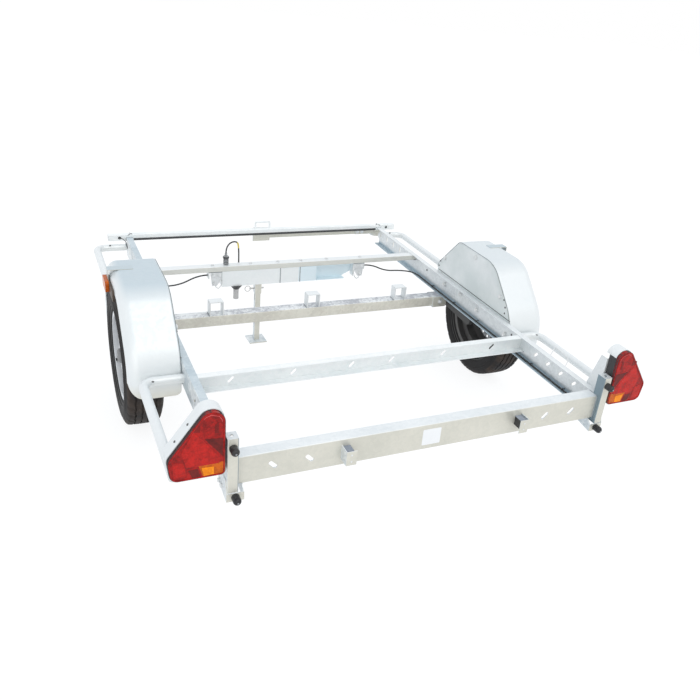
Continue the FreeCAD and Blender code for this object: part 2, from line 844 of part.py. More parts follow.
def saddle(shift, name):
    """Inverted U of flat bar on the axle beam, where a bunk or keel roller bolts on."""
    body = new_body(name)
    half, inner = saddle_wide / 2, saddle_wide / 2 - saddle_plate
    foot, top = -rail_high, saddle_high - rail_high
    middle = shift * saddle_side
    profile = [
        (middle - half, foot), (middle - half, top), (middle + half, top), (middle + half, foot),
        (middle + inner, foot), (middle + inner, top - saddle_plate),
        (middle - inner, top - saddle_plate), (middle - inner, foot),
    ]
    pad(body, outline(new_sketch(body, "Y", axle_back), profile), "Y", saddle_deep)
    round_edges(body, saddle_plate, runs("Y", (middle - half, top), (middle + half, top)))
    return body


def trailing_arm(side, name):
    """Trailing arm with its shaft collar at the beam and the stub axle for the wheel."""
    body = new_body(name)
    pivot = (axle_back + axle_deep / 2, -rail_high - axle_high / 2)
    tip = (wheel_y, -wheel_drop)
    start = arm_in if side > 0 else -arm_in - arm_thick
    pad(body, link(new_sketch(body, "X", start), pivot, arm_boss, tip, arm_tip), "X", arm_thick)
    collar = axle_half if side > 0 else -arm_in
    shaft = circle(new_sketch(body, "X", collar), pivot[0], pivot[1], axle_high / 2 - seat_gap)
    pad(body, shaft, "X", arm_in - axle_half)
    outer = arm_in + arm_thick
    reach = wheel_x + disc_out - hub_nose - outer
    stub = outer if side > 0 else -outer - reach
    pad(body, circle(new_sketch(body, "X", stub), tip[0], tip[1], stub_radius), "X", reach)
    place(body)


def hub(side, name):
    """Wheel hub with its grease cap, bored for the stub axle."""
    body = new_body(name)
    face, cap = disc_out, disc_out + hub_nose_long
    bore = stub_radius + stub_gap
    deep = disc_out - hub_nose + hub_end_gap
    step, fit = hub_radius * drum_share, disc_bore - seat_gap
    flange = face - hub_flange
    points = [
        (face - hub_long, bore), (face - hub_long, step), (flange, step), (flange, hub_radius),
        (face, hub_radius), (face, fit), (cap - hub_crown, fit), (cap, hub_nose - hub_crown),
        (cap, 0), (deep, 0), (deep, bore),
    ]
    turn(body, [(side * x, radius) for x, radius in points])
    place(body, side * wheel_x, wheel_y, -wheel_drop)


def rim(side, name):
    """Pressed steel wheel: rolled well, crowned disc, stud holes and a ring of vent holes."""
    body = new_body(name)
    edge, lip, seat = rim_wide / 2, rim_wide / 2 - rim_steel, rim_seat
    ramp, well = well_wide / 2 + well_ramp, well_wide / 2
    under = rim_seat - rim_steel
    flange = [(edge, under), (edge, flange_radius), (lip, flange_radius)]
    half = flange + [(lip, seat), (ramp, seat), (well, well_radius)]
    inner = [(-well, well_radius - rim_steel), (-ramp, under)]
    points = [(-x, radius) for x, radius in half] + [(x, radius) for x, radius in reversed(half)]
    points += [(-x, radius) for x, radius in reversed(inner)] + inner
    turn(body, [(side * x, radius) for x, radius in points])
    weld = well_radius - rim_steel / 2
    crest = disc_out + disc_rise
    disc = [
        (well - rim_steel, weld), (crest - rim_steel, disc_crown),
        (crest - rim_steel, disc_crown_in + rim_steel), (disc_out, disc_face), (disc_out, disc_bore),
        (disc_out + rim_steel, disc_bore), (disc_out + rim_steel, disc_face), (crest, disc_crown_in),
        (crest, disc_crown + rim_steel), (well, weld),
    ]
    turn(body, [(side * x, radius) for x, radius in disc])
    sketch = circle(new_sketch(body, "X"), stud_circle, 0, stud_hole)
    studs = pocket(body, sketch, "X")
    in_ring(body, studs, sketch, stud_count)
    near, deep = crest - rim_steel * 2, rim_steel * 3
    vents = circle(new_sketch(body, "X", near if side > 0 else -near - deep), 0, vent_circle, vent_hole)
    vent = pocket(body, vents, "X", deep)
    in_ring(body, vent, vents, vent_count)
    place(body, side * wheel_x, wheel_y, -wheel_drop)


def tyre(side, name):
    """Tyre with round sidewalls and straight grooves in the tread."""
    body = new_body(name)
    half = tyre_wide / 2
    bead = rim_seat + seat_gap
    section = tyre_radius - bead
    side_points = [(bead_wide / 2, bead)]
    for wide_share, high_share in sidewall_shares:
        side_points.append((half * wide_share, bead + section * high_share))
    side_points.append((tread_wide / 2 - groove_wide, tyre_radius - tread_crown))
    tread_points = []
    wall, low = groove_wide / 2, tyre_radius - groove_deep
    for place_share in groove_shares:
        middle = groove_pitch * place_share
        tread_points += [
            (middle + wall, tyre_radius), (middle + wall, low),
            (middle - wall, low), (middle - wall, tyre_radius),
        ]
    points = side_points + tread_points + [(-x, radius) for x, radius in reversed(side_points)]
    turn(body, points)
    place(body, side * wheel_x, wheel_y, -wheel_drop)


def guard_outline(inset, foot):
    """Corners of the folded mudguard's side view, set in by a distance, from its rear foot over."""
    turned = inset * octagon_share
    rear, front, crown = guard_rear + inset, guard_front - inset, guard_top - inset
    return [
        (rear, foot), (rear, guard_top - guard_chamfer - turned),
        (guard_rear + guard_chamfer + turned, crown), (guard_front - guard_slope - turned, crown),
        (front, guard_top - guard_slope - turned), (front, foot),
    ]


def guard_solid(side, name, inset, start, end, foot):
    """The mudguard's side view as a solid between two distances from the centre, its bends rounded."""
    body = new_body(name)
    corners = guard_outline(inset, foot)
    sketch = outline(new_sketch(body, "X", start if side > 0 else -end), corners)
    pad(body, sketch, "X", end - start)
    radii = (guard_rear_bend, guard_crown_bend, guard_front_bend, guard_front_bend)
    for corner, radius in zip(corners[1:], radii):
        round_edges(body, radius - inset, runs("X", corner))
    return body


def around(x, foot):
    """Test for the edges of an end face, all but the one along its foot."""
    face, level = as_size(x).value, as_size(foot).value

    def chosen(edge):
        ends = [vertex.Point for vertex in edge.Vertexes]
        if any(abs(end.x - face) > NEAR for end in ends):
            return False
        return any(abs(end.z - level) > NEAR for end in ends)

    return chosen


def guard_band(side, name):
    """Mudguard: folded band with round shoulders and an outer lip, its feet rounded."""
    foot, under = -guard_foot, -guard_foot - cut_over
    shell = guard_solid(side, name + "_shell", as_size(0), guard_in, guard_out, foot)
    round_edges(shell, guard_shoulder, around(side * guard_out, foot))
    round_edges(shell, guard_round, around(side * guard_in, foot))
    near, far = guard_in + guard_skin, guard_out - guard_skin
    hollow = guard_solid(side, name + "_hollow", guard_skin, near, far, under)
    round_edges(hollow, guard_shoulder - guard_skin, around(side * far, under))
    round_edges(hollow, guard_round - guard_skin, around(side * near, under))
    mouth = guard_solid(side, name + "_mouth", guard_lip, far - cut_over, guard_out + cut_over, under)
    inside = guard_solid(side, name + "_inside", guard_rim, guard_in - cut_over, near + cut_over, under)
    band = cut(name + "_band", shell, fuse(name + "_tools", [hollow, mouth, inside]))
    mask = new_body(name + "_mask")
    in_x, out_x, above = side * guard_in, side * guard_out, guard_top + cut_over
    sides = [(in_x, foot), (out_x, foot), (out_x, above), (in_x, above)]
    sketch = outline(new_sketch(mask, "Y", guard_rear - cut_over), sides)
    pad(mask, sketch, "Y", guard_front - guard_rear + cut_over * 2)
    round_edges(mask, guard_corner_out, runs("Y", (out_x, foot)))
    round_edges(mask, guard_corner_in, runs("Y", (in_x, foot)))
    common = doc.addObject("Part::Common", name)
    common.Base = band
    common.Tool = mask
    place(common)


def guard_plate(side, name):
    """Flat inner side of a mudguard, bolted against the web of the rail."""
    place(guard_solid(side, name, guard_round + seat_gap, half_width, guard_in, -plate_foot))


def marker_lamp(side, name, start, deep, tail=0):
    """One layer of a side marker lamp: its base, which runs on to the rear, or its lens."""
    back, front = marker_y - marker_long / 2 - tail, marker_y + marker_long / 2
    top, low = marker_top, marker_top - marker_high
    profile = [(back, low), (front, low), (front, top), (back, top)]
    body = new_body(name)
    at = start if side > 0 else -start - deep
    pad(body, outline(new_sketch(body, "X", at), profile), "X", deep)
    round_edges(body, lamp_inner_radius, runs("X", *profile))
    return body


def lamp_tab(side, name):
    """Bent tab from the mudguard's crown down to the side marker lamp."""
    body = new_body(name)
    crown = guard_top
    out = guard_out + marker_base
    near = guard_out - guard_shoulder - marker_tab
    thick = sheet_steel
    edge = side * (out - thick)
    profile = [
        (side * near, crown), (side * near, crown + thick), (side * out, crown + thick),
        (side * out, marker_top), (edge, marker_top), (edge, crown),
    ]
    pad(body, outline(new_sketch(body, "Y", marker_y - marker_tab_wide / 2), profile), "Y", marker_tab_wide)
    return body


def side_tube(side, name, corner_y, end_y):
    """Bent side tube: out from the rail, round one bend and along to its end."""
    body = new_body(name)
    spine = new_sketch(body, "Z", -tube_level)
    heading = 1 if end_y.value > corner_y.value else -1
    out, into = side * tube_x, side * (tube_x - tube_bend)
    after = corner_y + heading * tube_bend
    root = side * half_width

    def spot(x, y):
        return FreeCAD.Vector(as_size(x).value, as_size(y).value, 0)

    spine.addGeometry(Part.LineSegment(spot(root, corner_y), spot(into, corner_y)), False)
    middle = spot(into, after)
    ring = Part.Circle(middle, FreeCAD.Vector(0, 0, 1), tube_bend.value)
    ends = sorted([(-heading * QUARTER) % WHOLE, 0 if side > 0 else HALF])
    if ends == [0, WHOLE - QUARTER]:
        ends = [WHOLE - QUARTER, WHOLE]
    spine.addGeometry(Part.ArcOfCircle(ring, math.radians(ends[0]), math.radians(ends[1])), False)
    spine.addGeometry(Part.LineSegment(spot(out, after), spot(out, end_y)), False)
    first_end = 1 if spine.Geometry[1].StartPoint.distanceToPoint(spot(into, corner_y)) < NEAR else 2
    spine.addConstraint(Sketcher.Constraint("Tangent", 0, 2, 1, first_end))
    spine.addConstraint(Sketcher.Constraint("Tangent", 1, 3 - first_end, 2, 1))
    hold(spine, "DistanceX", -1, 1, 0, 1, root)
    hold(spine, "DistanceY", -1, 1, 0, 1, corner_y)
    spine.addConstraint(Sketcher.Constraint("Horizontal", 0))
    spine.addConstraint(Sketcher.Constraint("Vertical", 2))
    hold(spine, "Radius", 1, tube_bend)
    hold(spine, "DistanceX", -1, 1, 2, 2, out)
    hold(spine, "DistanceY", -1, 1, 2, 2, end_y)
    section = circle(new_sketch(body, "X", root), corner_y, -tube_level, tube_radius)
    pipe = body.newObject("PartDesign::AdditivePipe", name + "_pipe")
    pipe.Profile = section
    pipe.Spine = (spine, ["Edge1", "Edge2", "Edge3"])
    body.Tip = pipe
    return body


# How far the corners of the lamp outline move for each millimetre that its edges are set out
apex_rise_share = 3.25
elbow_out_share = 1.045
elbow_rise_share = 0.243
heel_out_share = 0.868


def lamp_outline(side, gap=0):
    """Corners of the three-sided tail lamp, or of the same outline set out by a gap."""
    gap = as_size(gap)
    out = lamp_in + lamp_wide
    elbow_x = out + lamp_bulge + gap * elbow_out_share
    elbow = (side * elbow_x, lamp_bulge_high - lamp_bottom + gap * elbow_rise_share)
    return [
        (side * (lamp_in - gap), -lamp_bottom - gap),
        (side * (lamp_in - gap), lamp_apex - lamp_bottom + gap * apex_rise_share),
        elbow,
        (side * (out + gap * heel_out_share), -lamp_bottom - gap),
    ]


def lamp_solid(body, side, start, deep, gap=0):
    """Lamp outline as a solid with its four corners rounded."""
    corners = lamp_outline(side, gap)
    pad(body, outline(new_sketch(body, "Y", start), corners), "Y", deep)
    radii = (lamp_inner_radius, lamp_tip_radius, lamp_side_radius, lamp_low_radius)
    for corner, radius in zip(corners, radii):
        round_edges(body, radius + gap, runs("Y", corner))
    return corners


def lamp(side, word):
    """Tail lamp: black housing, red lens and amber lens."""
    body = new_body(f"lamp_housing_{word}")
    lamp_solid(body, side, lens_deep - lens_back, housing_deep)
    place(body)
    corner_in, high = side * lamp_in, amber_high - lamp_bottom
    top_out, low_out = side * (lamp_in + amber_wide_top), side * (lamp_in + amber_wide_low)
    beyond = side * (lamp_in - cut_over)
    floor_cut = -lamp_bottom - cut_over
    amber = [(beyond, floor_cut), (beyond, high), (top_out, high), (low_out, floor_cut)]
    red = new_body(f"lamp_lens_red_{word}")
    lamp_solid(red, side, -lens_back, lens_deep)
    pocket(red, outline(new_sketch(red, "Y", -lens_back - cut_over), amber), "Y", lens_deep + cut_over * 2)
    place(red)
    whole = new_body(f"lamp_amber_whole_{word}")
    lamp_solid(whole, side, -lens_back, lens_deep)
    wedge = new_body(f"lamp_amber_wedge_{word}")
    below, step = high - seat_gap, side * seat_gap
    shrunk = [(beyond, floor_cut), (beyond, below), (top_out - step, below), (low_out - step, floor_cut)]
    pad(wedge, outline(new_sketch(wedge, "Y", -lens_back - cut_over), shrunk), "Y", lens_deep + cut_over * 2)
    common = doc.addObject("Part::Common", f"lamp_lens_amber_{word}")
    common.Base = whole
    common.Tool = wedge
    place(common)


def lamp_bracket(side, name):
    """Folded lamp bracket: band round the lamp, mounting plate and a wall bolted to the rail."""
    start = lens_deep - lens_back
    plate_back = start + housing_deep
    plate_front = plate_back + sheet_steel
    outer = new_body(name + "_outer")
    lamp_solid(outer, side, start, band_front - start, band_gap + sheet_steel)
    hollow = new_body(name + "_hollow")
    lamp_solid(hollow, side, start - cut_over, plate_back - start + cut_over, band_gap)
    recess = new_body(name + "_recess")
    lamp_solid(recess, side, plate_front, band_front - plate_front + cut_over, band_gap)
    near, far = lamp_in - band_gap - sheet_steel - cut_over, lamp_in + seat_gap
    low_x = near if side > 0 else -far
    high_x = far if side > 0 else -near
    high_z = lamp_apex + lamp_tip_radius
    low, high = (low_x, start - cut_over, -bracket_low), (high_x, band_front + cut_over, high_z)
    opening = block(name + "_opening", low, high)
    band = cut(name + "_band", outer, fuse(name + "_tools", [hollow, recess, opening]))
    wall = new_body(name + "_wall")
    wall_in = half_width if side > 0 else -half_width - sheet_steel
    foot, top = -bracket_wall_foot, bracket_wall_high
    shape = [(plate_back, foot), (plate_back, top), (bracket_wall_top, top), (bracket_wall_low, foot)]
    pad(wall, outline(new_sketch(wall, "X", wall_in), shape), "X", sheet_steel)
    web = new_body(name + "_web")
    inner, outer_edge = side * half_width, side * (lamp_in + lamp_wide)
    web_shape = [
        (inner, -bracket_low), (inner, bracket_wall_high), (side * (lamp_in + band_gap), bracket_wall_high),
        (side * (lamp_in + band_gap), -lamp_bottom), (outer_edge, -lamp_bottom), (outer_edge, -bracket_low),
    ]
    pad(web, outline(new_sketch(web, "Y", plate_back), web_shape), "Y", sheet_steel)
    place(fuse(name, [band, wall, web]))


def square(half):
    """Corners of a square about the prop leg's upright axis."""
    middle = second_back + (second_deep - beam_front_gap) / 2
    left, right, back, front = -leg_x - half, half - leg_x, middle - half, middle + half
    return [(left, back), (right, back), (right, front), (left, front)]


def stowage_beam():
    """Crosswise beam under the second member: closed box on the left, open channel on the right."""
    top = -steel - second_high
    low = top - beam_drop
    back, front = second_back, second_back + second_deep - beam_front_gap
    wall = tube_wall
    box = new_body("stowage_beam_box")
    outer = [(back, top), (front, top), (front, low), (back, low)]
    near, far = back + wall, front - wall
    inner = [(near, top - wall), (far, top - wall), (far, low + wall), (near, low + wall)]
    pad(box, outline(new_sketch(box, "X", -beam_half), outer), "X", beam_half + beam_seam)
    pocket(box, outline(new_sketch(box, "X", wall - beam_half), inner), "X", beam_half + beam_seam - wall * 2)
    mouth = square(leg_wide / 2 + leg_gap)
    pocket(box, outline(new_sketch(box, "Z", low - cut_over), mouth), "Z", wall + cut_over)
    place(box)
    panel = new_body("stowage_beam_panel")
    channel = [
        (front, top), (back, top), (back, top - wall), (front - wall, top - wall),
        (front - wall, low + wall), (back, low + wall), (back, low), (front, low),
    ]
    pad(panel, outline(new_sketch(panel, "X", beam_seam), channel), "X", beam_half - beam_seam)
    corner = [
        (beam_half - beam_chamfer * 2, low - cut_over), (beam_half + cut_over, low - cut_over),
        (beam_half + cut_over, low + beam_chamfer), (beam_half, low + beam_chamfer),
        (beam_half - beam_chamfer * 2, low),
    ]
    pocket(panel, outline(new_sketch(panel, "Y", back - cut_over), corner), "Y", second_deep + cut_over * 2)
    place(panel)


def hanger(side, name):
    """Folded hanger under the second member, closing the end of the stowage beam."""
    body = new_body(name)
    top = -steel - second_high
    near, far = side * beam_half, side * (beam_half + hanger_wide)
    wall, step = side * hanger_plate, top - hanger_drop / 2
    profile = [
        (near, top), (far, top), (far, step), (far - wall, step), (far - wall, top - hanger_plate),
        (near + wall, top - hanger_plate), (near + wall, top - hanger_drop), (near, top - hanger_drop),
    ]
    start = second_back + hanger_plate
    pad(body, outline(new_sketch(body, "Y", start), profile), "Y", second_deep - hanger_plate * 2)
    return body


def funnel():
    """Black funnel collar under the stowage beam with its grey socket tube."""
    low = -steel - second_high - beam_drop
    middle = second_back + (second_deep - beam_front_gap) / 2
    collar = doc.addObject("Part::Cone", "socket_collar")
    bind(collar, "Radius1", funnel_low)
    bind(collar, "Radius2", funnel_top)
    bind(collar, "Height", funnel_high)
    holder = doc.addObject("Part::Compound", "funnel_collar")
    holder.Links = [collar]
    place(holder, -funnel_x, middle, low - funnel_high)
    tube = doc.addObject("Part::Cylinder", "socket_pipe")
    bind(tube, "Radius", stub_tube)
    bind(tube, "Height", stub_tube_long)
    pipe = doc.addObject("Part::Compound", "funnel_tube")
    pipe.Links = [tube]
    place(pipe, -funnel_x, middle, low - funnel_high - stub_tube_long)


ARC_SHARE = 0.45


def cable(name, route, radius):
    """A round cable held along a route of straight runs joined by tangent arcs."""
    spots = [FreeCAD.Vector(*(as_size(value).value for value in spot)) for spot in route]
    edges = []
    last = spots[0]
    length = 0
    for before, corner, after in zip(spots, spots[1:], spots[2:]):
        into, out = (corner - before), (after - corner)
        trim = ARC_SHARE * min(into.Length, out.Length)
        into.normalize()
        out.normalize()
        turned = into.getAngle(out)
        bend_radius = trim / math.tan(turned / 2)
        start, end = corner - into * trim, corner + out * trim
        inward = (out - into).normalize()
        crest = corner + inward * (bend_radius / math.cos(turned / 2) - bend_radius)
        edges.append(Part.LineSegment(last, start).toShape())
        edges.append(Part.Arc(start, crest, end).toShape())
        length += last.distanceToPoint(start) + bend_radius * turned
        last = end
    edges.append(Part.LineSegment(last, spots[-1]).toShape())
    length += last.distanceToPoint(spots[-1])
    path = Part.Wire(edges)
    heading = (spots[1] - spots[0]).normalize()
    section = Part.Wire(Part.Circle(spots[0], heading, as_size(radius).value).toShape())
    solid = path.makePipeShell([section], True, True)
    wanted = length * math.pi * as_size(radius).value ** 2
    if abs(solid.Volume - wanted) > wanted * NEAR:
        raise ValueError(f"{name}: swept volume {solid.Volume:.0f}, wanted {wanted:.0f}")
    item = doc.addObject("Part::Feature", name)
    item.Shape = solid
    return item


def loom(side, name):
    """Lamp cable from a beam hanger, sagging across to the rail and back along its lower flange."""
    start_x = beam_half + hanger_wide + seat_gap
    end_x = half_width - steel - loom_in
    middle = second_back + second_deep / 2
    level = -rail_high + steel + wire_radius + seat_gap
    across = end_x - start_x
    low = -loom_level - loom_sag
    route = [
        (start_x, middle, -loom_level), (start_x + across * loom_start_share, middle, -loom_level),
        (start_x + across * loom_mid_share, middle - loom_in / 2, low),
        (start_x + across * loom_late_share, middle - loom_in, low),
        (end_x - loom_in / 2, middle - loom_run, level + wire_radius),
        (end_x, middle - loom_run * 3, level), (end_x, seat_gap + steel - post_back, level),
    ]
    return cable(name, [(side * x, y, z) for x, y, z in route], wire_radius)


def plug():
    """Connector plug parked upright on the second cross member, with its gland."""
    middle = second_back + second_deep / 2
    body = rod("plug_shell", "Z", (-plug_x, middle, -steel), plug_radius, plug_long)
    gland = rod("plug_gland", "Z", (-plug_x, middle, plug_long - steel), gland_radius, gland_long)
    place(fuse("connector_plug", [body, gland]))


def plug_lead():
    """Lead of the plug: up out of its gland, over and down the front of the stowage beam."""
    middle = second_back + second_deep / 2
    top = plug_long - steel + gland_long
    face = second_back + second_deep - beam_front_gap
    front = second_back + second_deep + lead_clear
    end_x = lead_reach - plug_x
    crest = top + lead_rise
    route = [
        (-plug_x, middle, top), (-plug_x, middle, (top + crest) / 2),
        (-plug_x + lead_reach * lead_early_share, (middle + face) / 2, crest),
        (-plug_x + lead_reach * lead_late_share, face, crest),
        (end_x, front, top + lead_clear / 2), (end_x, front, -lead_drop),
        (end_x, face + seat_gap, -lead_drop),
    ]
    place(cable("plug_lead", route, wire_radius))


def prop_leg():
    """Telescopic prop leg in its sleeve, with the pin that holds it."""
    low = -steel - second_high - beam_drop
    middle = second_back + (second_deep - beam_front_gap) / 2
    half, hollow = leg_wide / 2, leg_wide / 2 - leg_wall
    reach = half + leg_gap
    outer = reach + sleeve_wall

    sleeve = new_body("leg_sleeve")
    pad(sleeve, outline(new_sketch(sleeve, "Z", low - sleeve_long), square(outer)), "Z", sleeve_long)
    pocket(sleeve, outline(new_sketch(sleeve, "Z"), square(reach)), "Z")
    pin_level = low - pin_drop
    pocket(sleeve, circle(new_sketch(sleeve, "X"), middle, pin_level, pin_radius + hinge_gap), "X")
    place(sleeve)
    leg = new_body("prop_leg")
    foot_top = foot_thick - floor
    top = low + leg_top_rise
    pad(leg, outline(new_sketch(leg, "Z", foot_top), square(half)), "Z", top - foot_top)
    pocket(leg, outline(new_sketch(leg, "Z", foot_top), square(hollow)), "Z", top - foot_top + cut_over)
    run = pin_radius + pin_gap
    ends = (middle, pin_level), (middle, pin_level - leg_travel)
    pocket(leg, link(new_sketch(leg, "X"), ends[0], run, ends[1], run), "X")
    pad(leg, outline(new_sketch(leg, "Z", -floor), square(foot_wide / 2)), "Z", foot_thick)
    place(leg)
    start = (-leg_x - pin_left, middle, pin_level)
    shank = rod("leg_pin_shank", "X", start, pin_radius, pin_left + pin_right)
    ring = doc.addObject("Part::Torus", "leg_pin_ring")
    bind(ring, "Radius1", ring_radius)
    bind(ring, "Radius2", ring_wire)
    half_turn = FreeCAD.Rotation(FreeCAD.Vector(0, 1, 0), 180)
    ring.Placement = FreeCAD.Placement(FreeCAD.Vector(), half_turn.multiply(TURNS["Y"]))
    bind(ring, "Placement.Base.x", -leg_x - pin_left - ring_radius + pin_radius)
    bind(ring, "Placement.Base.y", middle)
    bind(ring, "Placement.Base.z", pin_level)
    place(fuse("leg_pin", [shank, ring]))


def hinge_bracket():
    """Clevis on the front crossbar for the drawbar's upright pin."""
    low = -bar_level - bar_high / 2 - ear_gap - ear_thick
    high = -bar_level + bar_high / 2 + ear_gap
    body = new_body("drawbar_hinge_bracket")
    reach = high + ear_thick
    face = [(-hinge_half, low), (hinge_half, low), (hinge_half, front_top), (-hinge_half, front_top)]
    pad(body, outline(new_sketch(body, "Y", rail_front), face), "Y", hinge_plate)
    back, front = rail_front + hinge_plate, hinge_y + bar_wide / 2 - ear_thick
    ear = [(-hinge_half, back), (hinge_half, back), (hinge_half / 2, front), (-hinge_half / 2, front)]
    for level in (low, high):
        pad(body, outline(new_sketch(body, "Z", level), ear), "Z", ear_thick)
    pocket(body, circle(new_sketch(body, "Z"), 0, hinge_y, hinge_pin + hinge_gap), "Z")
    place(body)
    foot = low - hinge_head_high
    shank = rod("hinge_pin_shank", "Z", (0, hinge_y, foot), hinge_pin, reach - foot)
    head = rod("hinge_pin_head", "Z", (0, hinge_y, reach), hinge_head, hinge_head_high)
    place(fuse("drawbar_hinge_pin", [shank, head]))


def drawbar():
    """Swing-away drawbar, laid along the front crossbar."""
    body = new_body("drawbar_tube")
    half_y = bar_wide / 2
    top, low = bar_high / 2 - bar_level, -bar_high / 2 - bar_level
    back, front = hinge_y - half_y, hinge_y + half_y
    outer = [(back, low), (front, low), (front, top), (back, top)]
    pad(body, outline(new_sketch(body, "X", -bar_tail), outer), "X", bar_tail + bar_long)
    round_edges(body, steel, runs("X", *outer))
    near, far = back + steel, front - steel
    inner = [(near, low + steel), (far, low + steel), (far, top - steel), (near, top - steel)]
    pocket(body, outline(new_sketch(body, "X"), inner), "X")
    pocket(body, circle(new_sketch(body, "Z"), 0, hinge_y, hinge_pin + hinge_gap), "Z")
    place(body)


def coupling():
    """Pressed coupling head with a ball socket, and its locking lever."""
    shell_half = bar_wide / 2 + head_wall
    top = bar_high / 2 + head_wall - bar_level
    start = bar_long - head_lap
    ball_x = start + head_long
    body = new_body("coupling_head")
    side_low = -bar_high / 2 - bar_level
    near, far = hinge_y - shell_half, hinge_y + shell_half
    arch = [
        (near, side_low), (near, top), (far, top), (far, side_low),
        (far - head_wall, side_low), (far - head_wall, top - head_wall),
        (near + head_wall, top - head_wall), (near + head_wall, side_low),
    ]
    pad(body, outline(new_sketch(body, "X", start), arch), "X", head_lap)
    nose_low = -bar_level - socket_drop - socket_low
    full = [(near, side_low), (near, top), (far, top), (far, side_low)]
    pad(body, outline(new_sketch(body, "X", bar_long), full), "X", ball_x - bar_long)
    pad(body, circle(new_sketch(body, "Z", nose_low), ball_x, hinge_y, shell_half), "Z", top - nose_low)
    mouth = circle(new_sketch(body, "Z", nose_low - cut_over), ball_x, hinge_y, socket_radius)
    pocket(body, mouth, "Z", socket_low + cut_over)
    dome = body.newObject("PartDesign::SubtractiveSphere", "coupling_socket")
    bind(dome, "Radius", socket_radius)
    bind(dome, "Placement.Base.x", ball_x)
    bind(dome, "Placement.Base.y", hinge_y)
    bind(dome, "Placement.Base.z", -bar_level - socket_drop)
    body.Tip = dome
    place(body)
    lever = new_body("coupling_lever")
    tail = ball_x - lever_long
    lie = [(tail, top), (ball_x, top), (ball_x, top + lever_nose), (tail, top + lever_high)]
    pad(lever, outline(new_sketch(lever, "Y", hinge_y - lever_wide / 2), lie), "Y", lever_wide)
    place(lever)


SIDES = ((-1, "left"), (1, "right"))
lamp_plate_front = lens_deep - lens_back + housing_deep + sheet_steel
for side, word in SIDES:
    rail(side, f"rail_{word}")
    post(side, f"rear_post_{word}")
    strap(side, f"post_strap_{word}")
    buffers(side, f"buffers_{word}")
    trailing_arm(side, f"trailing_arm_{word}")
    hub(side, f"hub_{word}")
    rim(side, f"rim_{word}")
    tyre(side, f"tyre_{word}")
    guard_band(side, f"mudguard_{word}")
    guard_plate(side, f"mudguard_plate_{word}")
    lamp(side, word)
    lamp_bracket(side, f"lamp_bracket_{word}")
together("plate_lamp_guards", [plate_guard(side, f"plate_guard_{word}") for side, word in SIDES])
together("plate_lamps", [plate_lamp(side, f"plate_lamp_{word}") for side, word in SIDES])
together("axle_brackets", [axle_bracket(side, f"axle_bracket_{word}") for side, word in SIDES])
together("beam_hangers", [hanger(side, f"beam_hanger_{word}") for side, word in SIDES])
together("marker_tabs", [lamp_tab(side, f"marker_tab_{word}") for side, word in SIDES])
lens_at = guard_out + marker_base
bases = []
for side, word in SIDES:
    bases.append(marker_lamp(side, f"marker_base_{word}", guard_out, marker_base, marker_tail))
together("marker_bases", bases)
lenses = [marker_lamp(side, f"marker_lens_{word}", lens_at, marker_deep) for side, word in SIDES]
together("marker_lenses", lenses)
rear_tubes = [side_tube(side, f"rear_tube_{word}", rear_tube_y, lamp_plate_front) for side, word in SIDES]
together("side_tubes_rear", rear_tubes)
front_tubes = [side_tube(side, f"front_tube_{word}", front_tube_y, guard_front) for side, word in SIDES]
together("side_tubes_front", front_tubes)
saddles = [saddle(shift, f"saddle_{word}") for shift, word in ((-1, "left"), (0, "centre"), (1, "right"))]
together("bunk_saddles", saddles)
rear_crossbar()
third_member()
second_member()
front_crossbar()
tie_loop()
axle_beam()
stowage_beam()
funnel()
together("wiring_looms", [loom(side, f"loom_{word}") for side, word in SIDES])
plug()
plug_lead()
prop_leg()
hinge_bracket()
drawbar()
coupling()

doc.recompute()
faults = []
for item in doc.Objects:
    if "Invalid" in item.State or "Error" in item.State:
        faults.append(f"{item.Name}: {item.State}")
for item in pieces:
    if item.Shape.isNull() or not item.Shape.isValid():
        faults.append(f"{item.Label}: no valid shape")
if faults:
    raise RuntimeError("; ".join(faults))

os.makedirs("parts", exist_ok=True)
for item in pieces:
    item.Shape.exportStep(os.path.join("parts", f"{item.Label}.step"))
print(len(pieces), "pieces written")
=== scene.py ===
import math

import bmesh
import bpy
from bpy.props import FloatProperty, FloatVectorProperty, IntProperty, PointerProperty
from mathutils import Matrix, Vector


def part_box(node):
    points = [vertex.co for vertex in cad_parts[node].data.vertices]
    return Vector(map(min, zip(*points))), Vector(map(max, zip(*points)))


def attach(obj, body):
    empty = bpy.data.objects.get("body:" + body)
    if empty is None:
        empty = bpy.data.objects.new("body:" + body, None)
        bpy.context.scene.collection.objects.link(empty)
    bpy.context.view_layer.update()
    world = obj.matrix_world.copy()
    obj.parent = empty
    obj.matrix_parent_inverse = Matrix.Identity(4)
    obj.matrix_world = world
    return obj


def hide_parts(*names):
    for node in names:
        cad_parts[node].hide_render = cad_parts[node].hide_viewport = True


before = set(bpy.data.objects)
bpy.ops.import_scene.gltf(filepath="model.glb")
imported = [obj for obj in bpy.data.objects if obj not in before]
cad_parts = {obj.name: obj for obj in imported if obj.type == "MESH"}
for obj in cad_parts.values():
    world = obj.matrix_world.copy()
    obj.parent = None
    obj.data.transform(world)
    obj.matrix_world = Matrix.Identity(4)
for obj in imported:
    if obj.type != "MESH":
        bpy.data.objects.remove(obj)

bl_info = {
    "name": "Boat trailer looks",
    "version": (1, 0, 0),
    "blender": (4, 5, 0),
    "location": "3D View > Sidebar > Boat trailer",
    "description": "Finishes, tyres, fasteners, lamps, cords and stage of an open-frame boat trailer",
    "category": "Object",
}

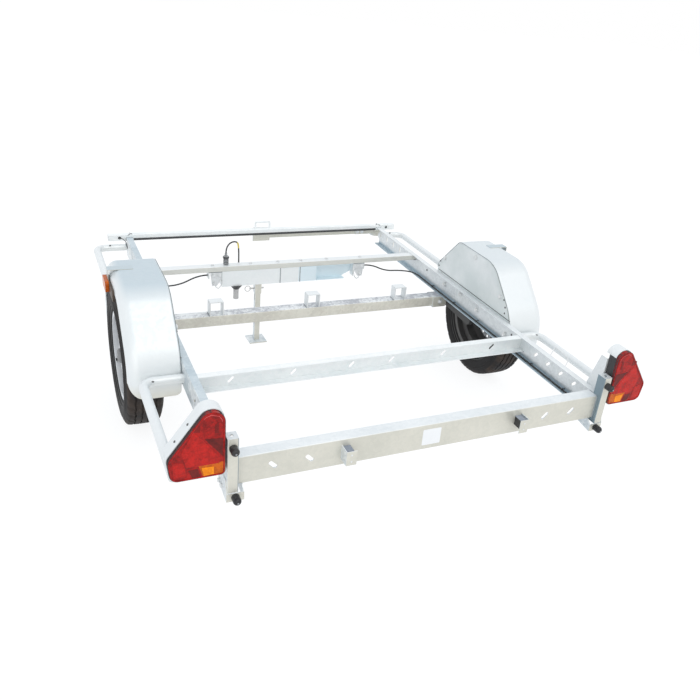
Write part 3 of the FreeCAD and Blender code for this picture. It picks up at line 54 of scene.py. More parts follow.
# Lengths in tables are millimetres off the datum: rear face of the crossbar, centre plane, rail top
MM = 0.001
SIDES = ((-1, "left"), (1, "right"))
FULL_TURN = 2 * math.pi
DATUM_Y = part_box("rear_crossbar")[0][1]
DATUM_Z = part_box("rail_right")[1][2]
HALF_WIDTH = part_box("rail_right")[1][0] / MM
RAIL_STEEL, SHEET_STEEL = 3, 2
CHASSIS = "chassis"
WHEEL_DOWN, WHEEL_AHEAD, WHEEL_OUTSET = -142, 995, 117
WHEEL_OUT = HALF_WIDTH + WHEEL_OUTSET
TYRE_RADIUS, TREAD_FOOT, RING_ZONE = 281, 262, 214

# Directions in which fasteners point
BACK, UP = (0, -1, 0), (0, 0, 1)

# Edges of a mesh are sharp from this angle on
SHARP_ANGLE = math.radians(38)

# Segments round a bead where nothing else is said
TUBE_STEPS = 8

# An axis counts as upright above this share, and a path as straight below this bend
UPRIGHT_SHARE = 0.9
STRAIGHT = 1e-9


def at(x, y, z):
    """A point of the part, in metres, from millimetres off the datum."""
    return Vector((x * MM, DATUM_Y + y * MM, DATUM_Z + z * MM))


def beside(side, spot):
    """A point of the part on one side, from one whose x is the distance outward."""
    return at(side * spot[0], *spot[1:])


def across(*values):
    """A direction or an offset, in metres, from millimetres."""
    return Vector(values) * MM


def length(label, note, value):
    return FloatProperty(
        name=label, description=note, default=value, precision=4, subtype="DISTANCE", unit="LENGTH",
    )


def plain(label, note, value):
    return FloatProperty(name=label, description=note, default=value, min=0)


def share(label, note, value):
    return FloatProperty(name=label, description=note, default=value, min=0, max=1, subtype="FACTOR")


def number(label, note, value):
    return IntProperty(name=label, description=note, default=value, min=0)


def colour(label, note, value):
    return FloatVectorProperty(
        name=label, description=note, default=value, size=3, min=0, max=1, subtype="COLOR",
    )


class Form:
    """Points and faces of one piece, gathered before its mesh is made."""

    def __init__(self):
        self.points = []
        self.faces = []
        self.smooth = []

    def point(self, place):
        self.points.append(tuple(place))
        return len(self.points) - 1

    def face(self, corners, smooth=True):
        corners = list(dict.fromkeys(corners))
        if len(corners) > 2:
            self.faces.append(corners)
            self.smooth.append(smooth)

    def skin(self, rows, smooth=True):
        """Faces between closed rows of points; a row of one point is a pole."""
        for low, high in zip(rows, rows[1:]):
            count = max(len(low), len(high))
            for index in range(count):
                after = (index + 1) % count
                corners = [low[index % len(low)], low[after % len(low)]]
                corners += [high[after % len(high)], high[index % len(high)]]
                self.face(corners, smooth)

    def ring(self, middle, one, two, radius, count):
        """A row of points round a middle, with a radius in millimetres."""
        angles = [FULL_TURN * index / count for index in range(count)]
        spots = [middle + (one * math.cos(a) + two * math.sin(a)) * radius * MM for a in angles]
        return [self.point(spot) for spot in spots]

    def lathe(self, base, axis, profile, count, smooth=True):
        """Turn (along, radius) pairs, in millimetres, about an axis through a point."""
        axis, one, two = square_to(axis)
        rows = []
        for along, radius in profile:
            middle = base + axis * along * MM
            rows.append(self.ring(middle, one, two, radius, count) if radius else [self.point(middle)])
        self.skin(rows, smooth)

    def prism(self, corners, push):
        """A flat outline pushed out into a solid."""
        low = [self.point(corner) for corner in corners]
        high = [self.point(corner + push) for corner in corners]
        self.skin([low, high], False)
        self.face(list(reversed(low)), False)
        self.face(high, False)

    def tube(self, path, radii, count=TUBE_STEPS, closed=False):
        """A round bead along a path; radii is one radius or one for each point, in millimetres."""
        if not isinstance(radii, (list, tuple)):
            radii = [radii] * len(path)
        rows = []
        last = len(path) - 1
        flat = sum(((b - a).cross(c - b) for a, b, c in zip(path, path[1:], path[2:])), Vector())
        helper = flat.normalized() if flat.length > STRAIGHT else None
        for index, place in enumerate(path):
            before = path[index - 1] if index or closed else place
            after = path[(index + 1) % len(path)] if index < last or closed else place
            _, one, two = square_to(after - before, helper)
            rows.append(self.ring(place, one, two, radii[index], count))
        if closed:
            rows.append(rows[0])
        else:
            self.face(list(reversed(rows[0])), False)
            self.face(rows[-1], False)
        self.skin(rows)

    def made(self, name, finish, body, slot, replaces=()):
        """The piece as an object that rides on a body of the frame."""
        mesh = bpy.data.meshes.new(name)
        mesh.from_pydata(self.points, [], self.faces)
        mesh.polygons.foreach_set("use_smooth", self.smooth)
        work = bmesh.new()
        work.from_mesh(mesh)
        bmesh.ops.recalc_face_normals(work, faces=work.faces)
        work.to_mesh(mesh)
        work.free()
        mesh.set_sharp_from_angle(angle=SHARP_ANGLE)
        mesh.materials.append(look(finish))
        carry(linked(name, mesh), body, replaces)


def linked(name, data):
    """A new object in the scene."""
    item = bpy.data.objects.new(name, data)
    bpy.context.scene.collection.objects.link(item)
    return item


def carry(item, body, replaces):
    """Let an object ride on a body of the frame, in a slot and in place of CAD nodes."""
    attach(item, body)
    if replaces:
        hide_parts(*replaces)


def square_to(axis, helper=None):
    """An axis and two directions square to it and to each other."""
    axis = Vector(axis).normalized()
    if helper is None:
        helper = Vector((1, 0, 0)) if abs(axis.z) > UPRIGHT_SHARE else Vector(UP)
    one = axis.cross(helper).normalized()
    return axis, one, axis.cross(one)


def rounded(corners, radii, steps):
    """(point, outward normal) pairs round a flat outline whose corners are rounded."""
    count = len(corners)
    pairs = []
    for index, radius in enumerate(radii):
        here = Vector(corners[index])
        into = (here - Vector(corners[index - 1])).normalized()
        out = (Vector(corners[(index + 1) % count]) - here).normalized()
        bent = into.angle(out)
        trim = radius * math.tan(bent / 2)
        inward = (out - into).normalized()
        centre = here + inward * radius / math.cos(bent / 2)
        start, end = here - into * trim - centre, here + out * trim - centre
        for step in range(steps + 1):
            normal = start.lerp(end, step / steps).normalized()
            pairs.append((centre + normal * radius, normal))
    return pairs


# Sizes of a hex bolt for each millimetre of its thread
HEX_FLATS_SHARE = 1.62
HEX_HIGH_SHARE = 0.66
WASHER_SHARE = 1.15
WASHER_THICK_SHARE = 0.2
CHAMFER_SHARE = 0.14
ROOT_THREE = math.sqrt(3)

# Height and radius of a round head for each millimetre of its radius
RIVET_SHARES = ((0, 0), (0, 1), (0.3, 0.93), (0.5, 0.6), (0.56, 0))

# Segments round a hex head, a thread's end, a rivet or hole, and a washer
HEX_STEPS, THREAD_STEPS, RIVET_STEPS, WASHER_STEPS = 6, 12, 14, 18

# Ripples of a weld bead
WELD_PITCH, WELD_LEAST, WELD_STEPS, WELD_LOW_SHARE = 4.5, 4, 7, 0.8


def bolt(form, place, axis, thread, shown=0, washer=True):
    """A hex head or nut on its washer, with the thread's end when some of it shows."""
    thick = thread * WASHER_THICK_SHARE if washer else 0
    if washer:
        wide = thread * WASHER_SHARE
        form.lathe(place, axis, [(0, 0), (0, wide), (thick, wide), (thick, 0)], WASHER_STEPS)
    corner = thread * HEX_FLATS_SHARE / ROOT_THREE
    high = thread * HEX_HIGH_SHARE
    slope = high * CHAMFER_SHARE
    head = [(thick, 0), (thick, corner - slope), (thick + slope, corner)]
    head += [(thick + high - slope, corner), (thick + high, corner - slope), (thick + high, 0)]
    form.lathe(place, axis, head, HEX_STEPS, smooth=False)
    if shown:
        half, tip = thread / 2, thick + high + shown
        end = [(thick, half), (tip - slope, half), (tip, half - slope), (tip, 0)]
        form.lathe(place, axis, end, THREAD_STEPS)


def rivet(form, place, axis, radius):
    """A round rivet or button head."""
    form.lathe(place, axis, [(radius * high, radius * wide) for high, wide in RIVET_SHARES], RIVET_STEPS)


def weld(form, start, end, radius):
    """A rippled weld bead along a line."""
    run = end - start
    steps = max(WELD_LEAST, round(run.length / MM / WELD_PITCH) * 2)
    path = [start + run * index / steps for index in range(steps + 1)]
    radii = [radius * (1 if index % 2 else WELD_LOW_SHARE) for index in range(steps + 1)]
    form.tube(path, radii, count=WELD_STEPS)


class Value:
    """One value in a shader, with the usual arithmetic."""

    def __init__(self, nodes, socket):
        self.nodes = nodes
        self.socket = socket

    def math(self, operation, *others, first=None):
        values = [self if first is None else first, *others]
        return self.nodes.node("ShaderNodeMath", {"operation": operation}, dict(enumerate(values)))

    def __add__(self, other):
        return self.math("ADD", other)

    __radd__ = __add__

    def __mul__(self, other):
        return self.math("MULTIPLY", other)

    __rmul__ = __mul__

    def __sub__(self, other):
        return self.math("SUBTRACT", other)

    def __rsub__(self, other):
        return self.math("SUBTRACT", self, first=other)

    def __pow__(self, other):
        return self.math("POWER", other)

    def above(self, level):
        return self.math("GREATER_THAN", level)

    def or_more(self, other):
        return self.math("MAXIMUM", other)

    def capped(self):
        return self.or_more(0).math("MINIMUM", 1)

    def size(self):
        return self.math("ABSOLUTE")

    def wave(self):
        return self.math("SINE")


class Nodes:
    """A node tree that is filled from here."""

    def __init__(self, tree):
        self.tree = tree
        self.tree.nodes.clear()

    def node(self, kind, settings=None, inputs=None, output=0):
        """One node with its settings and socket values; gives one of its outputs."""
        made = self.tree.nodes.new(kind)
        for key, setting in (settings or {}).items():
            setattr(made, key, setting)
        for key, value in (inputs or {}).items():
            if isinstance(value, Value):
                self.tree.links.new(value.socket, made.inputs[key])
            else:
                made.inputs[key].default_value = value
        return Value(self, made.outputs[output]) if len(made.outputs) else None

    def backdrop(self):
        """One for rays from the camera and for those that metal or glass sends on, else zero."""
        kinds = ("Is Camera Ray", "Is Glossy Ray", "Is Transmission Ray")
        straight, glossy, through = (self.node("ShaderNodeLightPath", output=kind) for kind in kinds)
        return straight.or_more(glossy).or_more(through)


LOOK = "_look"


def look(name):
    """A finished material by its slot or finish."""
    return bpy.data.materials[name + LOOK]


class Shader(Nodes):
    """The nodes of one material."""

    def __init__(self, name):
        self.material = bpy.data.materials.new(name + LOOK)
        self.material.use_nodes = True
        super().__init__(self.material.node_tree)

    def place(self):
        """The point being shaded, in metres in the part's own frame."""
        return self.node("ShaderNodeTexCoord", output="Object")

    def split(self, value):
        """The three parts of a direction, a point or a colour."""
        node = self.node("ShaderNodeSeparateXYZ", inputs={0: value}).socket.node
        return [Value(self, socket) for socket in node.outputs]

    def parts(self):
        """X, Y and Z of the point being shaded."""
        return self.split(self.place())

    def facing(self):
        """X, Y and Z of the surface's direction in the part's own frame."""
        return self.split(self.node("ShaderNodeTexCoord", output="Normal"))

    def from_axle(self):
        """How far the point being shaded is from the wheels' axis."""
        _, y, z = self.parts()
        ahead, up = y - (DATUM_Y + WHEEL_AHEAD * MM), z - (DATUM_Z + WHEEL_DOWN * MM)
        return (ahead * ahead + up * up) ** 0.5

    def noise(self, scale, detail=3, rough=0.55):
        inputs = {"Vector": self.place(), "Scale": scale, "Detail": detail, "Roughness": rough}
        return self.node("ShaderNodeTexNoise", inputs=inputs)

    def grains(self, scale):
        """A flat random level for each crystal of a zinc coat."""
        inputs = {"Vector": self.place(), "Scale": scale}
        return self.split(self.node("ShaderNodeTexVoronoi", inputs=inputs, output="Color"))[0]

    def mix(self, factor, one, two):
        """Two colours blended."""
        inputs = {0: factor, 6: one, 7: two}
        return self.node("ShaderNodeMix", {"data_type": "RGBA"}, inputs, output=2)

    def bump(self, height, strength, deep):
        return self.node("ShaderNodeBump", inputs={"Height": height, "Strength": strength, "Distance": deep})

    def surface(self, **sockets):
        """The finished surface."""
        named = {key.replace("_", " "): value for key, value in sockets.items()}
        shaded = self.node("ShaderNodeBsdfPrincipled", inputs=named)
        self.node("ShaderNodeOutputMaterial", inputs={"Surface": shaded})


def solid(rgb):
    """A colour with its alpha."""
    return (*rgb, 1)


# How deep the grain of zinc, of paint and of rubber is, in metres
ZINC_DEEP, PAINT_DEEP, RUBBER_DEEP = 0.0006, 0.0004, 0.0005
ZINC_ROUGH_SHARE, CRYSTAL_BUMP_SHARE, BLUE_SHARE = 0.18, 0.4, 0.85
SKY_POWER, INNER_GAIN = 5, 4


def zinc(name, settings, light, dark, reflection_and_shade=1, mottle=1, white=0, sky=0, inner=0,
         patch_share=1, grain=1, blue_from=None, below=None):
    """Hot-dip zinc: crystals, cloudy patches and a warm bloom on the faces that look back.

    white lightens the faces that look up and sky turns them blue, inner darkens those that look to
    the middle of the trailer, blue_from is the distance to the right where the coat turns blue, and
    below is a height, how fast the tint comes in under it, and the tint.
    """
    shader = Shader(name)
    clouds = shader.noise(settings.cloud_scale * patch_share, 4)
    crystals = shader.grains(settings.crystal_scale)
    fine = shader.noise(settings.fine_scale, 2)
    pattern = (clouds - 0.5) * settings.cloud_depth + (crystals - 0.5) * settings.crystal_depth * grain
    coat = shader.mix((pattern * mottle + settings.zinc_level).capped(), solid(dark), solid(light))
    across_way, ahead, up = shader.facing()
    # Painted warm reflection on the faces that look back, and painted shade under the faces that look down
    reflection_shade_mask = (ahead * -1).capped() * settings.back_reflection + (up * -1).capped() * settings.under_shade
    base = shader.mix(reflection_shade_mask * reflection_and_shade, coat, solid(settings.dust))
    x, _, z = shader.parts()
    # The stowage beam is blue-grey from a distance to the right on
    if blue_from is not None:
        base = shader.mix(x.above(blue_from) * BLUE_SHARE, base, solid(settings.beam_right_blue_grey))
    if inner:
        inside = (across_way * x * -INNER_GAIN).capped() * inner
        base = shader.mix(inside, base, solid(settings.inner_shade))
    # Painted blue sky reflection on the faces that look up
    if sky:
        base = shader.mix(up.capped() ** SKY_POWER * sky, base, solid(settings.painted_sky_blue))
    # Painted light on the faces that look up
    if white:
        base = shader.mix(up.capped() * white, base, solid(settings.painted_top_light))
    # Painted shade low down: the bottom of the right rail and the foot of the left mudguard
    if below:
        level, pace, tint = below
        base = shader.mix(((level - z) * pace).capped() * settings.low_shade_share, base, solid(tint))
    rough = (settings.zinc_rough + (crystals - 0.5) * ZINC_ROUGH_SHARE).capped()
    grained = shader.bump(fine + crystals * CRYSTAL_BUMP_SHARE, settings.zinc_bump, ZINC_DEEP)
    shader.surface(Base_Color=base, Roughness=rough, Metallic=settings.zinc_metal, Normal=grained)


PAINT_BUMP, PAINT_GRAIN = 0.1, 22
PAINT_LEVEL, PAINT_GAIN, PAINT_ROUGH_SHARE = 0.3, 1.8, 0.16


def paint(name, rgb, other, rough, metal, scale):
    """Plain paint, plastic or bare metal with a faint mottle."""
    shader = Shader(name)
    mottle = shader.noise(scale, 4)
    fine = shader.noise(scale * PAINT_GRAIN, 2)
    base = shader.mix(((mottle - PAINT_LEVEL) * PAINT_GAIN).capped(), solid(rgb), solid(other))
    dull = (mottle * PAINT_ROUGH_SHARE + rough).capped()
    grained = shader.bump(fine, PAINT_BUMP, PAINT_DEEP)
    shader.surface(Base_Color=base, Roughness=dull, Metallic=metal, Normal=grained)


SILVER_SCALE, SILVER_ROUGH, SILVER_ROUGH_SHARE = 30, 0.3, 0.2
# Metal share of the silver, the metal taken off in the painted shade, and how fast the crown and that shade
# come in
SILVER_METAL, SHADE_METAL_LOSS = 0.25, 0.15
CROWN_PACE, SHADE_PACE = 400, 900


def wheel_paint(name, settings):
    """Silver wheel paint, dark with brake dust on the side that faces the frame."""
    shader = Shader(name)
    mottle = shader.noise(SILVER_SCALE, 4)
    silver = shader.mix(mottle, solid(settings.silver), solid(settings.silver_dull))
    wheel_shade = shader.mix(mottle, solid(settings.wheel_shade), solid(settings.wheel_shade_light))
    # Painted shade on the wheel's inner side, reaching over the disc's crown
    crown = ((shader.from_axle() - settings.crown_from) * CROWN_PACE).capped() * settings.crown_rise
    out = shader.parts()[0].size()
    inside = ((WHEEL_OUT * MM + settings.shade_edge - out + crown) * SHADE_PACE).capped()
    base = shader.mix(inside, silver, wheel_shade)
    rough = (mottle * SILVER_ROUGH_SHARE + SILVER_ROUGH).capped()
    metal = (SILVER_METAL - inside * SHADE_METAL_LOSS).capped()
    grained = shader.bump(mottle, PAINT_BUMP, PAINT_DEEP)
    shader.surface(Base_Color=base, Roughness=rough, Metallic=metal, Normal=grained)


RUBBER_GRAIN, RUBBER_BUMP, RUBBER_ROUGH_SHARE = 340, 0.25, 0.25
TYRE_SCALE, TYRE_LEVEL, TYRE_GAIN, TYRE_ROUGH, TYRE_SHINE = 14, 0.4, 3, 0.5, 0.22
# Painted highlight rings on the sidewalls: waves per metre, level and gain
RING_WAVES, RING_LEVEL, RING_GAIN = 620, 0.6, 1.6
TREAD_DUST_SHARE, WALL_DUST_SHARE = 0.85, 0.15


def rubbery(shader, base, dusty, rough, shine):
    """A rubber surface, duller where it is dusty."""
    dull = (dusty * RUBBER_ROUGH_SHARE + rough).capped()
    grained = shader.bump(shader.noise(RUBBER_GRAIN, 2), RUBBER_BUMP, RUBBER_DEEP)
    shader.surface(Base_Color=base, Roughness=dull, Specular_IOR_Level=shine, Normal=grained)


def tyre_rubber(name, settings):
    """Black rubber with light rings on the sidewalls and brown dust on the tread."""
    shader = Shader(name)
    radius = shader.from_axle()
    dusty = shader.noise(TYRE_SCALE, 5)
    tread = radius.above(TREAD_FOOT * MM)
    # Painted highlight rings on the sidewalls, inside the ring zone
    rings = ((radius * RING_WAVES).wave() - RING_LEVEL).capped() * (1 - radius.above(RING_ZONE * MM))
    dust = ((dusty - TYRE_LEVEL) * TYRE_GAIN).capped() * (tread * TREAD_DUST_SHARE + WALL_DUST_SHARE)
    base = shader.mix(dust, solid(settings.rubber), solid(settings.tread_dust))
    ringed = shader.mix((rings * RING_GAIN).capped(), base, solid(settings.ring_highlight_grey))
    rubbery(shader, ringed, dusty, TYRE_ROUGH, TYRE_SHINE)


BUFFER_SCALE, BUFFER_LEVEL, BUFFER_GAIN, BUFFER_ROUGH, BUFFER_SHINE = 9, 0.42, 2.4, 0.12, 0.35


def buffer_rubber(name, settings):
    """Smooth black rubber with brown dust where it is matt."""
    shader = Shader(name)
    dusty = shader.noise(BUFFER_SCALE, 5)
    dust = ((dusty - BUFFER_LEVEL) * BUFFER_GAIN).capped()
    base = shader.mix(dust, solid(settings.buffer_black), solid(settings.buffer_dust))
    rubbery(shader, base, dusty, BUFFER_ROUGH, BUFFER_SHINE)


LENS_RIBS, LENS_BUMP, LENS_ROUGH, LENS_COAT, LENS_COAT_ROUGH, LENS_SHINE = 2600, 0.25, 0.22, 0.1, 0.1, 0.18
DEPTH_SCALE, DEPTH_LEVEL, DEPTH_GAIN = 34, 0.47, 3.2
FLECK_SCALE, FLECK_GAIN, RIB_GAIN, DARK_LEVEL = 210, 1.6, 0.15, 0.25


def lens(name, rgb, deep, glow):
    """Moulded lamp lens: glossy, with fine ribs both ways and dark depths behind."""
    shader = Shader(name)
    x, _, z = shader.parts()
    ribs = (x * LENS_RIBS).wave() * (z * LENS_RIBS).wave()
    depth = shader.noise(DEPTH_SCALE, 5, 0.7)
    flecks = shader.noise(FLECK_SCALE, 3, 0.6)
    dark = (depth - DEPTH_LEVEL) * DEPTH_GAIN + (flecks - 0.5) * FLECK_GAIN + ribs * RIB_GAIN + DARK_LEVEL
    base = shader.mix(dark.capped(), solid(rgb), solid(deep))
    shader.surface(
        Base_Color=base, Roughness=LENS_ROUGH, Coat_Weight=LENS_COAT, Coat_Roughness=LENS_COAT_ROUGH,
        Specular_IOR_Level=LENS_SHINE, Emission_Color=base, Emission_Strength=glow,
        Normal=shader.bump(ribs, LENS_BUMP, PAINT_DEEP),
    )


class TrailerFinish(bpy.types.PropertyGroup):
    """Colours and textures of the trailer."""

    zinc_light: colour("Zinc light", "Bright crystals of the zinc coat", (0.84, 0.87, 0.88))
    zinc_dark: colour("Zinc dark", "Dull crystals of the zinc coat", (0.46, 0.53, 0.57))
    pale_light: colour("Pale light", "Bright crystals of the members that look white", (0.96, 0.975, 0.975))
    pale_dark: colour("Pale dark", "Dull crystals of the members that look white", (0.80, 0.85, 0.86))
    plain_light: colour("Plain light", "Bright parts of the new, even coat", (0.86, 0.885, 0.89))
    plain_dark: colour("Plain dark", "Dull parts of the new, even coat", (0.68, 0.72, 0.735))
    axle_dark: colour("Axle dark", "Dull crystals of the axle beam", (0.44, 0.46, 0.50))
    # Lighter than zinc dark: painted light on the right rail's inner web
    rail_lit_dark: colour("Rail dark", "Dull crystals of the right rail", (0.60, 0.64, 0.655))
    plate_dark: colour("Plate dark", "Dull clouds on the mudguards' inner plates", (0.66, 0.715, 0.715))
    guard_light: colour("Guard light", "Bright parts of the mudguards", (0.85, 0.875, 0.88))
    guard_dark: colour("Guard dark", "Dull parts of the mudguards", (0.74, 0.785, 0.80))
    # Painted blue sky reflection on the faces that look up
    painted_sky_blue: colour("Guard sky", "Parts of the mudguards that look up", (0.50, 0.60, 0.66))
    # Blue-grey of the stowage beam to the right of a line
    beam_right_blue_grey: colour("Zinc blue", "Blue parts of the coat", (0.74, 0.86, 0.91))
    # Painted light on the faces that look up
    painted_top_light: colour("Zinc white", "Faces that look up", (0.84, 0.875, 0.89))
    inner_shade: colour("Inner shade", "Inner sides of the posts", (0.22, 0.29, 0.33))
    # Painted shade in the bottom of the right rail
    rail_low_shade: colour("Low blue", "Blue in the bottom of the right rail", (0.40, 0.52, 0.60))
    # Warm tint: painted warm reflection on the faces that look back, painted shade on the undersides and at
    # the left mudguard's foot
    dust: colour("Warm bloom", "Tint of the faces that look back", (0.655, 0.62, 0.51))
    back_reflection: share("Bloom on rear faces", "How much of the tint the rear faces take", 0.75)
    under_shade: share("Bloom below", "How much of the tint the undersides take", 0.2)
    # Strength of the painted shade low on the right rail and the left mudguard
    low_shade_share: share("Low tint", "How strong the tint low on the rail and the mudguard is", 0.75)
    rail_low: length("Rail low", "Height under which the right rail is blue", 0.345)
    rail_pace: plain("Rail pace", "How fast the blue comes in, per metre", 90)
    # Height and pace of the painted shade at the left mudguard's foot
    guard_shade_height: length("Dusty height", "Height under which the mudguard's foot is dusty", 0.345)
    guard_pace: plain("Guard pace", "How fast the dust comes in, per metre", 16)
    beam_blue: length("Blue from", "Where the stowage beam turns blue, to the right of the middle", 0.045)
    zinc_level: share("Zinc level", "How near the coat is to its bright colour", 0.55)
    cloud_scale: plain("Cloud scale", "Patches per metre in the zinc coat", 7)
    cloud_depth: plain("Cloud depth", "How strong the patches are", 1.9)
    crystal_scale: plain("Crystal scale", "Zinc crystals per metre", 95)
    crystal_depth: plain("Crystal depth", "How strong the crystals are", 0.5)
    fine_scale: plain("Fine scale", "Grain of the zinc coat per metre", 520)
    zinc_rough: share("Zinc roughness", "Roughness of the zinc coat", 0.42)
    zinc_metal: share("Zinc metal", "How metallic the zinc coat is", 0.35)
    zinc_bump: share("Zinc bump", "Depth of the grain", 0.12)
    silver: colour("Wheel silver", "Paint on the outside of the wheels", (0.90, 0.92, 0.94))
    silver_dull: colour("Dull silver", "Dull patches of the wheels' paint", (0.62, 0.64, 0.66))
    # Painted shade on the inner side of the wheels: dark, light patches, its edge and how it follows the
    # crown
    wheel_shade: colour("Wheel grime", "Brake dust on the inside of the wheels", (0.05, 0.05, 0.052))
    wheel_shade_light: colour("Light grime", "Thin patches of the brake dust", (0.09, 0.085, 0.08))
    shade_edge: length("Grime edge", "From the wheel's middle to where the grime ends", 0.0318)
    crown_from: length("Crown from", "Radius where the disc's crown begins", 0.09)
    crown_rise: length("Crown rise", "How far the grime follows the disc's crown", 0.009)
    rubber: colour("Rubber", "Clean rubber of the tyres", (0.013, 0.013, 0.014))
    tread_dust: colour("Tread dust", "Brown dust on the tread", (0.060, 0.044, 0.035))
    # Painted highlight on the rings of the sidewalls
    ring_highlight_grey: colour("Ring grey", "Worn rings on the sidewalls", (0.16, 0.16, 0.155))
    buffer_black: colour("Buffer black", "Clean rubber of the buffers", (0.022, 0.022, 0.025))
    buffer_dust: colour("Buffer dust", "Dusty rubber of the buffers", (0.045, 0.044, 0.043))


# Paints, plastics and bare metals: two colours, roughness, share of metal and patches per metre
PAINTS = (
    ("axle_black", (0.035, 0.036, 0.038), (0.07, 0.068, 0.064), 0.45, 0, 22),
    ("hub_steel", (0.30, 0.31, 0.32), (0.20, 0.19, 0.18), 0.5, 0.6, 22),
    ("pin_steel", (0.62, 0.62, 0.60), (0.45, 0.45, 0.44), 0.3, 0.8, 22),
    ("bolt_zinc", (0.82, 0.84, 0.85), (0.66, 0.67, 0.66), 0.3, 0.55, 120),
    ("dark_steel", (0.10, 0.105, 0.11), (0.16, 0.16, 0.16), 0.5, 0.4, 22),
    ("weld_grey", (0.42, 0.45, 0.47), (0.30, 0.32, 0.33), 0.5, 0.4, 160),
    ("black_plastic", (0.028, 0.029, 0.032), (0.045, 0.045, 0.047), 0.42, 0, 22),
    ("cable_black", (0.020, 0.021, 0.023), (0.05, 0.048, 0.045), 0.45, 0, 22),
    ("funnel_grey", (0.58, 0.57, 0.56), (0.42, 0.41, 0.40), 0.5, 0, 22),
    ("plug_grey", (0.52, 0.53, 0.54), (0.26, 0.265, 0.27), 0.35, 0.3, 22),
    ("marker_brown", (0.085, 0.058, 0.04), (0.05, 0.036, 0.028), 0.45, 0, 22),
    # Painted shade on the mudguards' inner rolled edges
    ("edge_grey", (0.28, 0.33, 0.35), (0.20, 0.24, 0.26), 0.45, 0, 22),
    # Painted highlight on the buffers' tips
    ("mark_grey", (0.33, 0.34, 0.36), (0.26, 0.27, 0.28), 0.4, 0, 22),
    ("glass_grey", (0.30, 0.34, 0.40), (0.20, 0.23, 0.29), 0.15, 0, 22),
    ("label_white", (0.86, 0.87, 0.87), (0.80, 0.81, 0.82), 0.5, 0, 22),
    ("tag_yellow", (0.80, 0.62, 0.10), (0.70, 0.55, 0.12), 0.45, 0, 22),
)

# Lamp lenses: bright and deep colour, and glow
LENSES = (
    ("lens_red", (0.42, 0.010, 0.008), (0.15, 0.006, 0.005), 0.04),
    ("lens_red_warm", (0.52, 0.014, 0.010), (0.26, 0.008, 0.006), 0.05),
    ("lens_red_deep", (0.22, 0.010, 0.008), (0.13, 0.007, 0.006), 0.02),
    ("lens_brown", (0.17, 0.012, 0.010), (0.085, 0.008, 0.007), 0.01),
    # Painted highlight line under the tail lamps' top
    ("lens_clear_red", (0.62, 0.10, 0.10), (0.46, 0.05, 0.05), 0.08),
    ("lens_amber", (0.60, 0.12, 0.004), (0.30, 0.05, 0.004), 0.03),
    ("lens_amber_bright", (0.92, 0.30, 0.004), (0.70, 0.18, 0.004), 0.06),
)

# Finish of each CAD node, by the start of its name; the first that fits is used
FINISHES = (
    ("axle_beam", "zinc_axle"), ("rail_left", "zinc_rail_left"), ("rail_right", "zinc_rail_right"),
    ("rear_crossbar", "zinc_rear"), ("rear_post", "zinc_post"), ("post_strap", "zinc_rear"),
    ("plate_lamp_guards", "zinc_rear"), ("side_tubes", "zinc_even"), ("lamp_bracket", "zinc_even"),
    ("beam_hangers", "zinc_even"), ("bunk_saddles", "zinc_even"), ("front_", "zinc_pale"),
    ("third_", "zinc_pale"), ("second_", "zinc_second"), ("stowage_beam", "zinc_beam"),
    ("mudguard_plate", "zinc_plate"), ("mudguard_right", "mudguard_steel_right"),
    ("mudguard", "mudguard_steel"), ("marker_tabs", "zinc_tab"), ("trailing_arm", "axle_black"),
    ("hub", "hub_steel"), ("rim", "wheel_silver"), ("tyre", "tyre_rubber"), ("buffers", "buffer_rubber"),
    ("lamp_lens_red", "lens_red"), ("lamp_lens_amber", "lens_amber"), ("marker_lenses", "lens_amber"),
    ("lamp_housing", "black_plastic"), ("marker_bases", "marker_brown"), ("plate_lamps", "black_plastic"),
    ("funnel_collar", "black_plastic"), ("funnel_tube", "funnel_grey"), ("connector_plug", "plug_grey"),
    ("wiring_looms", "cable_black"), ("plug_lead", "cable_black"), ("leg_pin", "pin_steel"),
    ("drawbar_hinge_pin", "pin_steel"), ("", "galvanised_steel"),
)


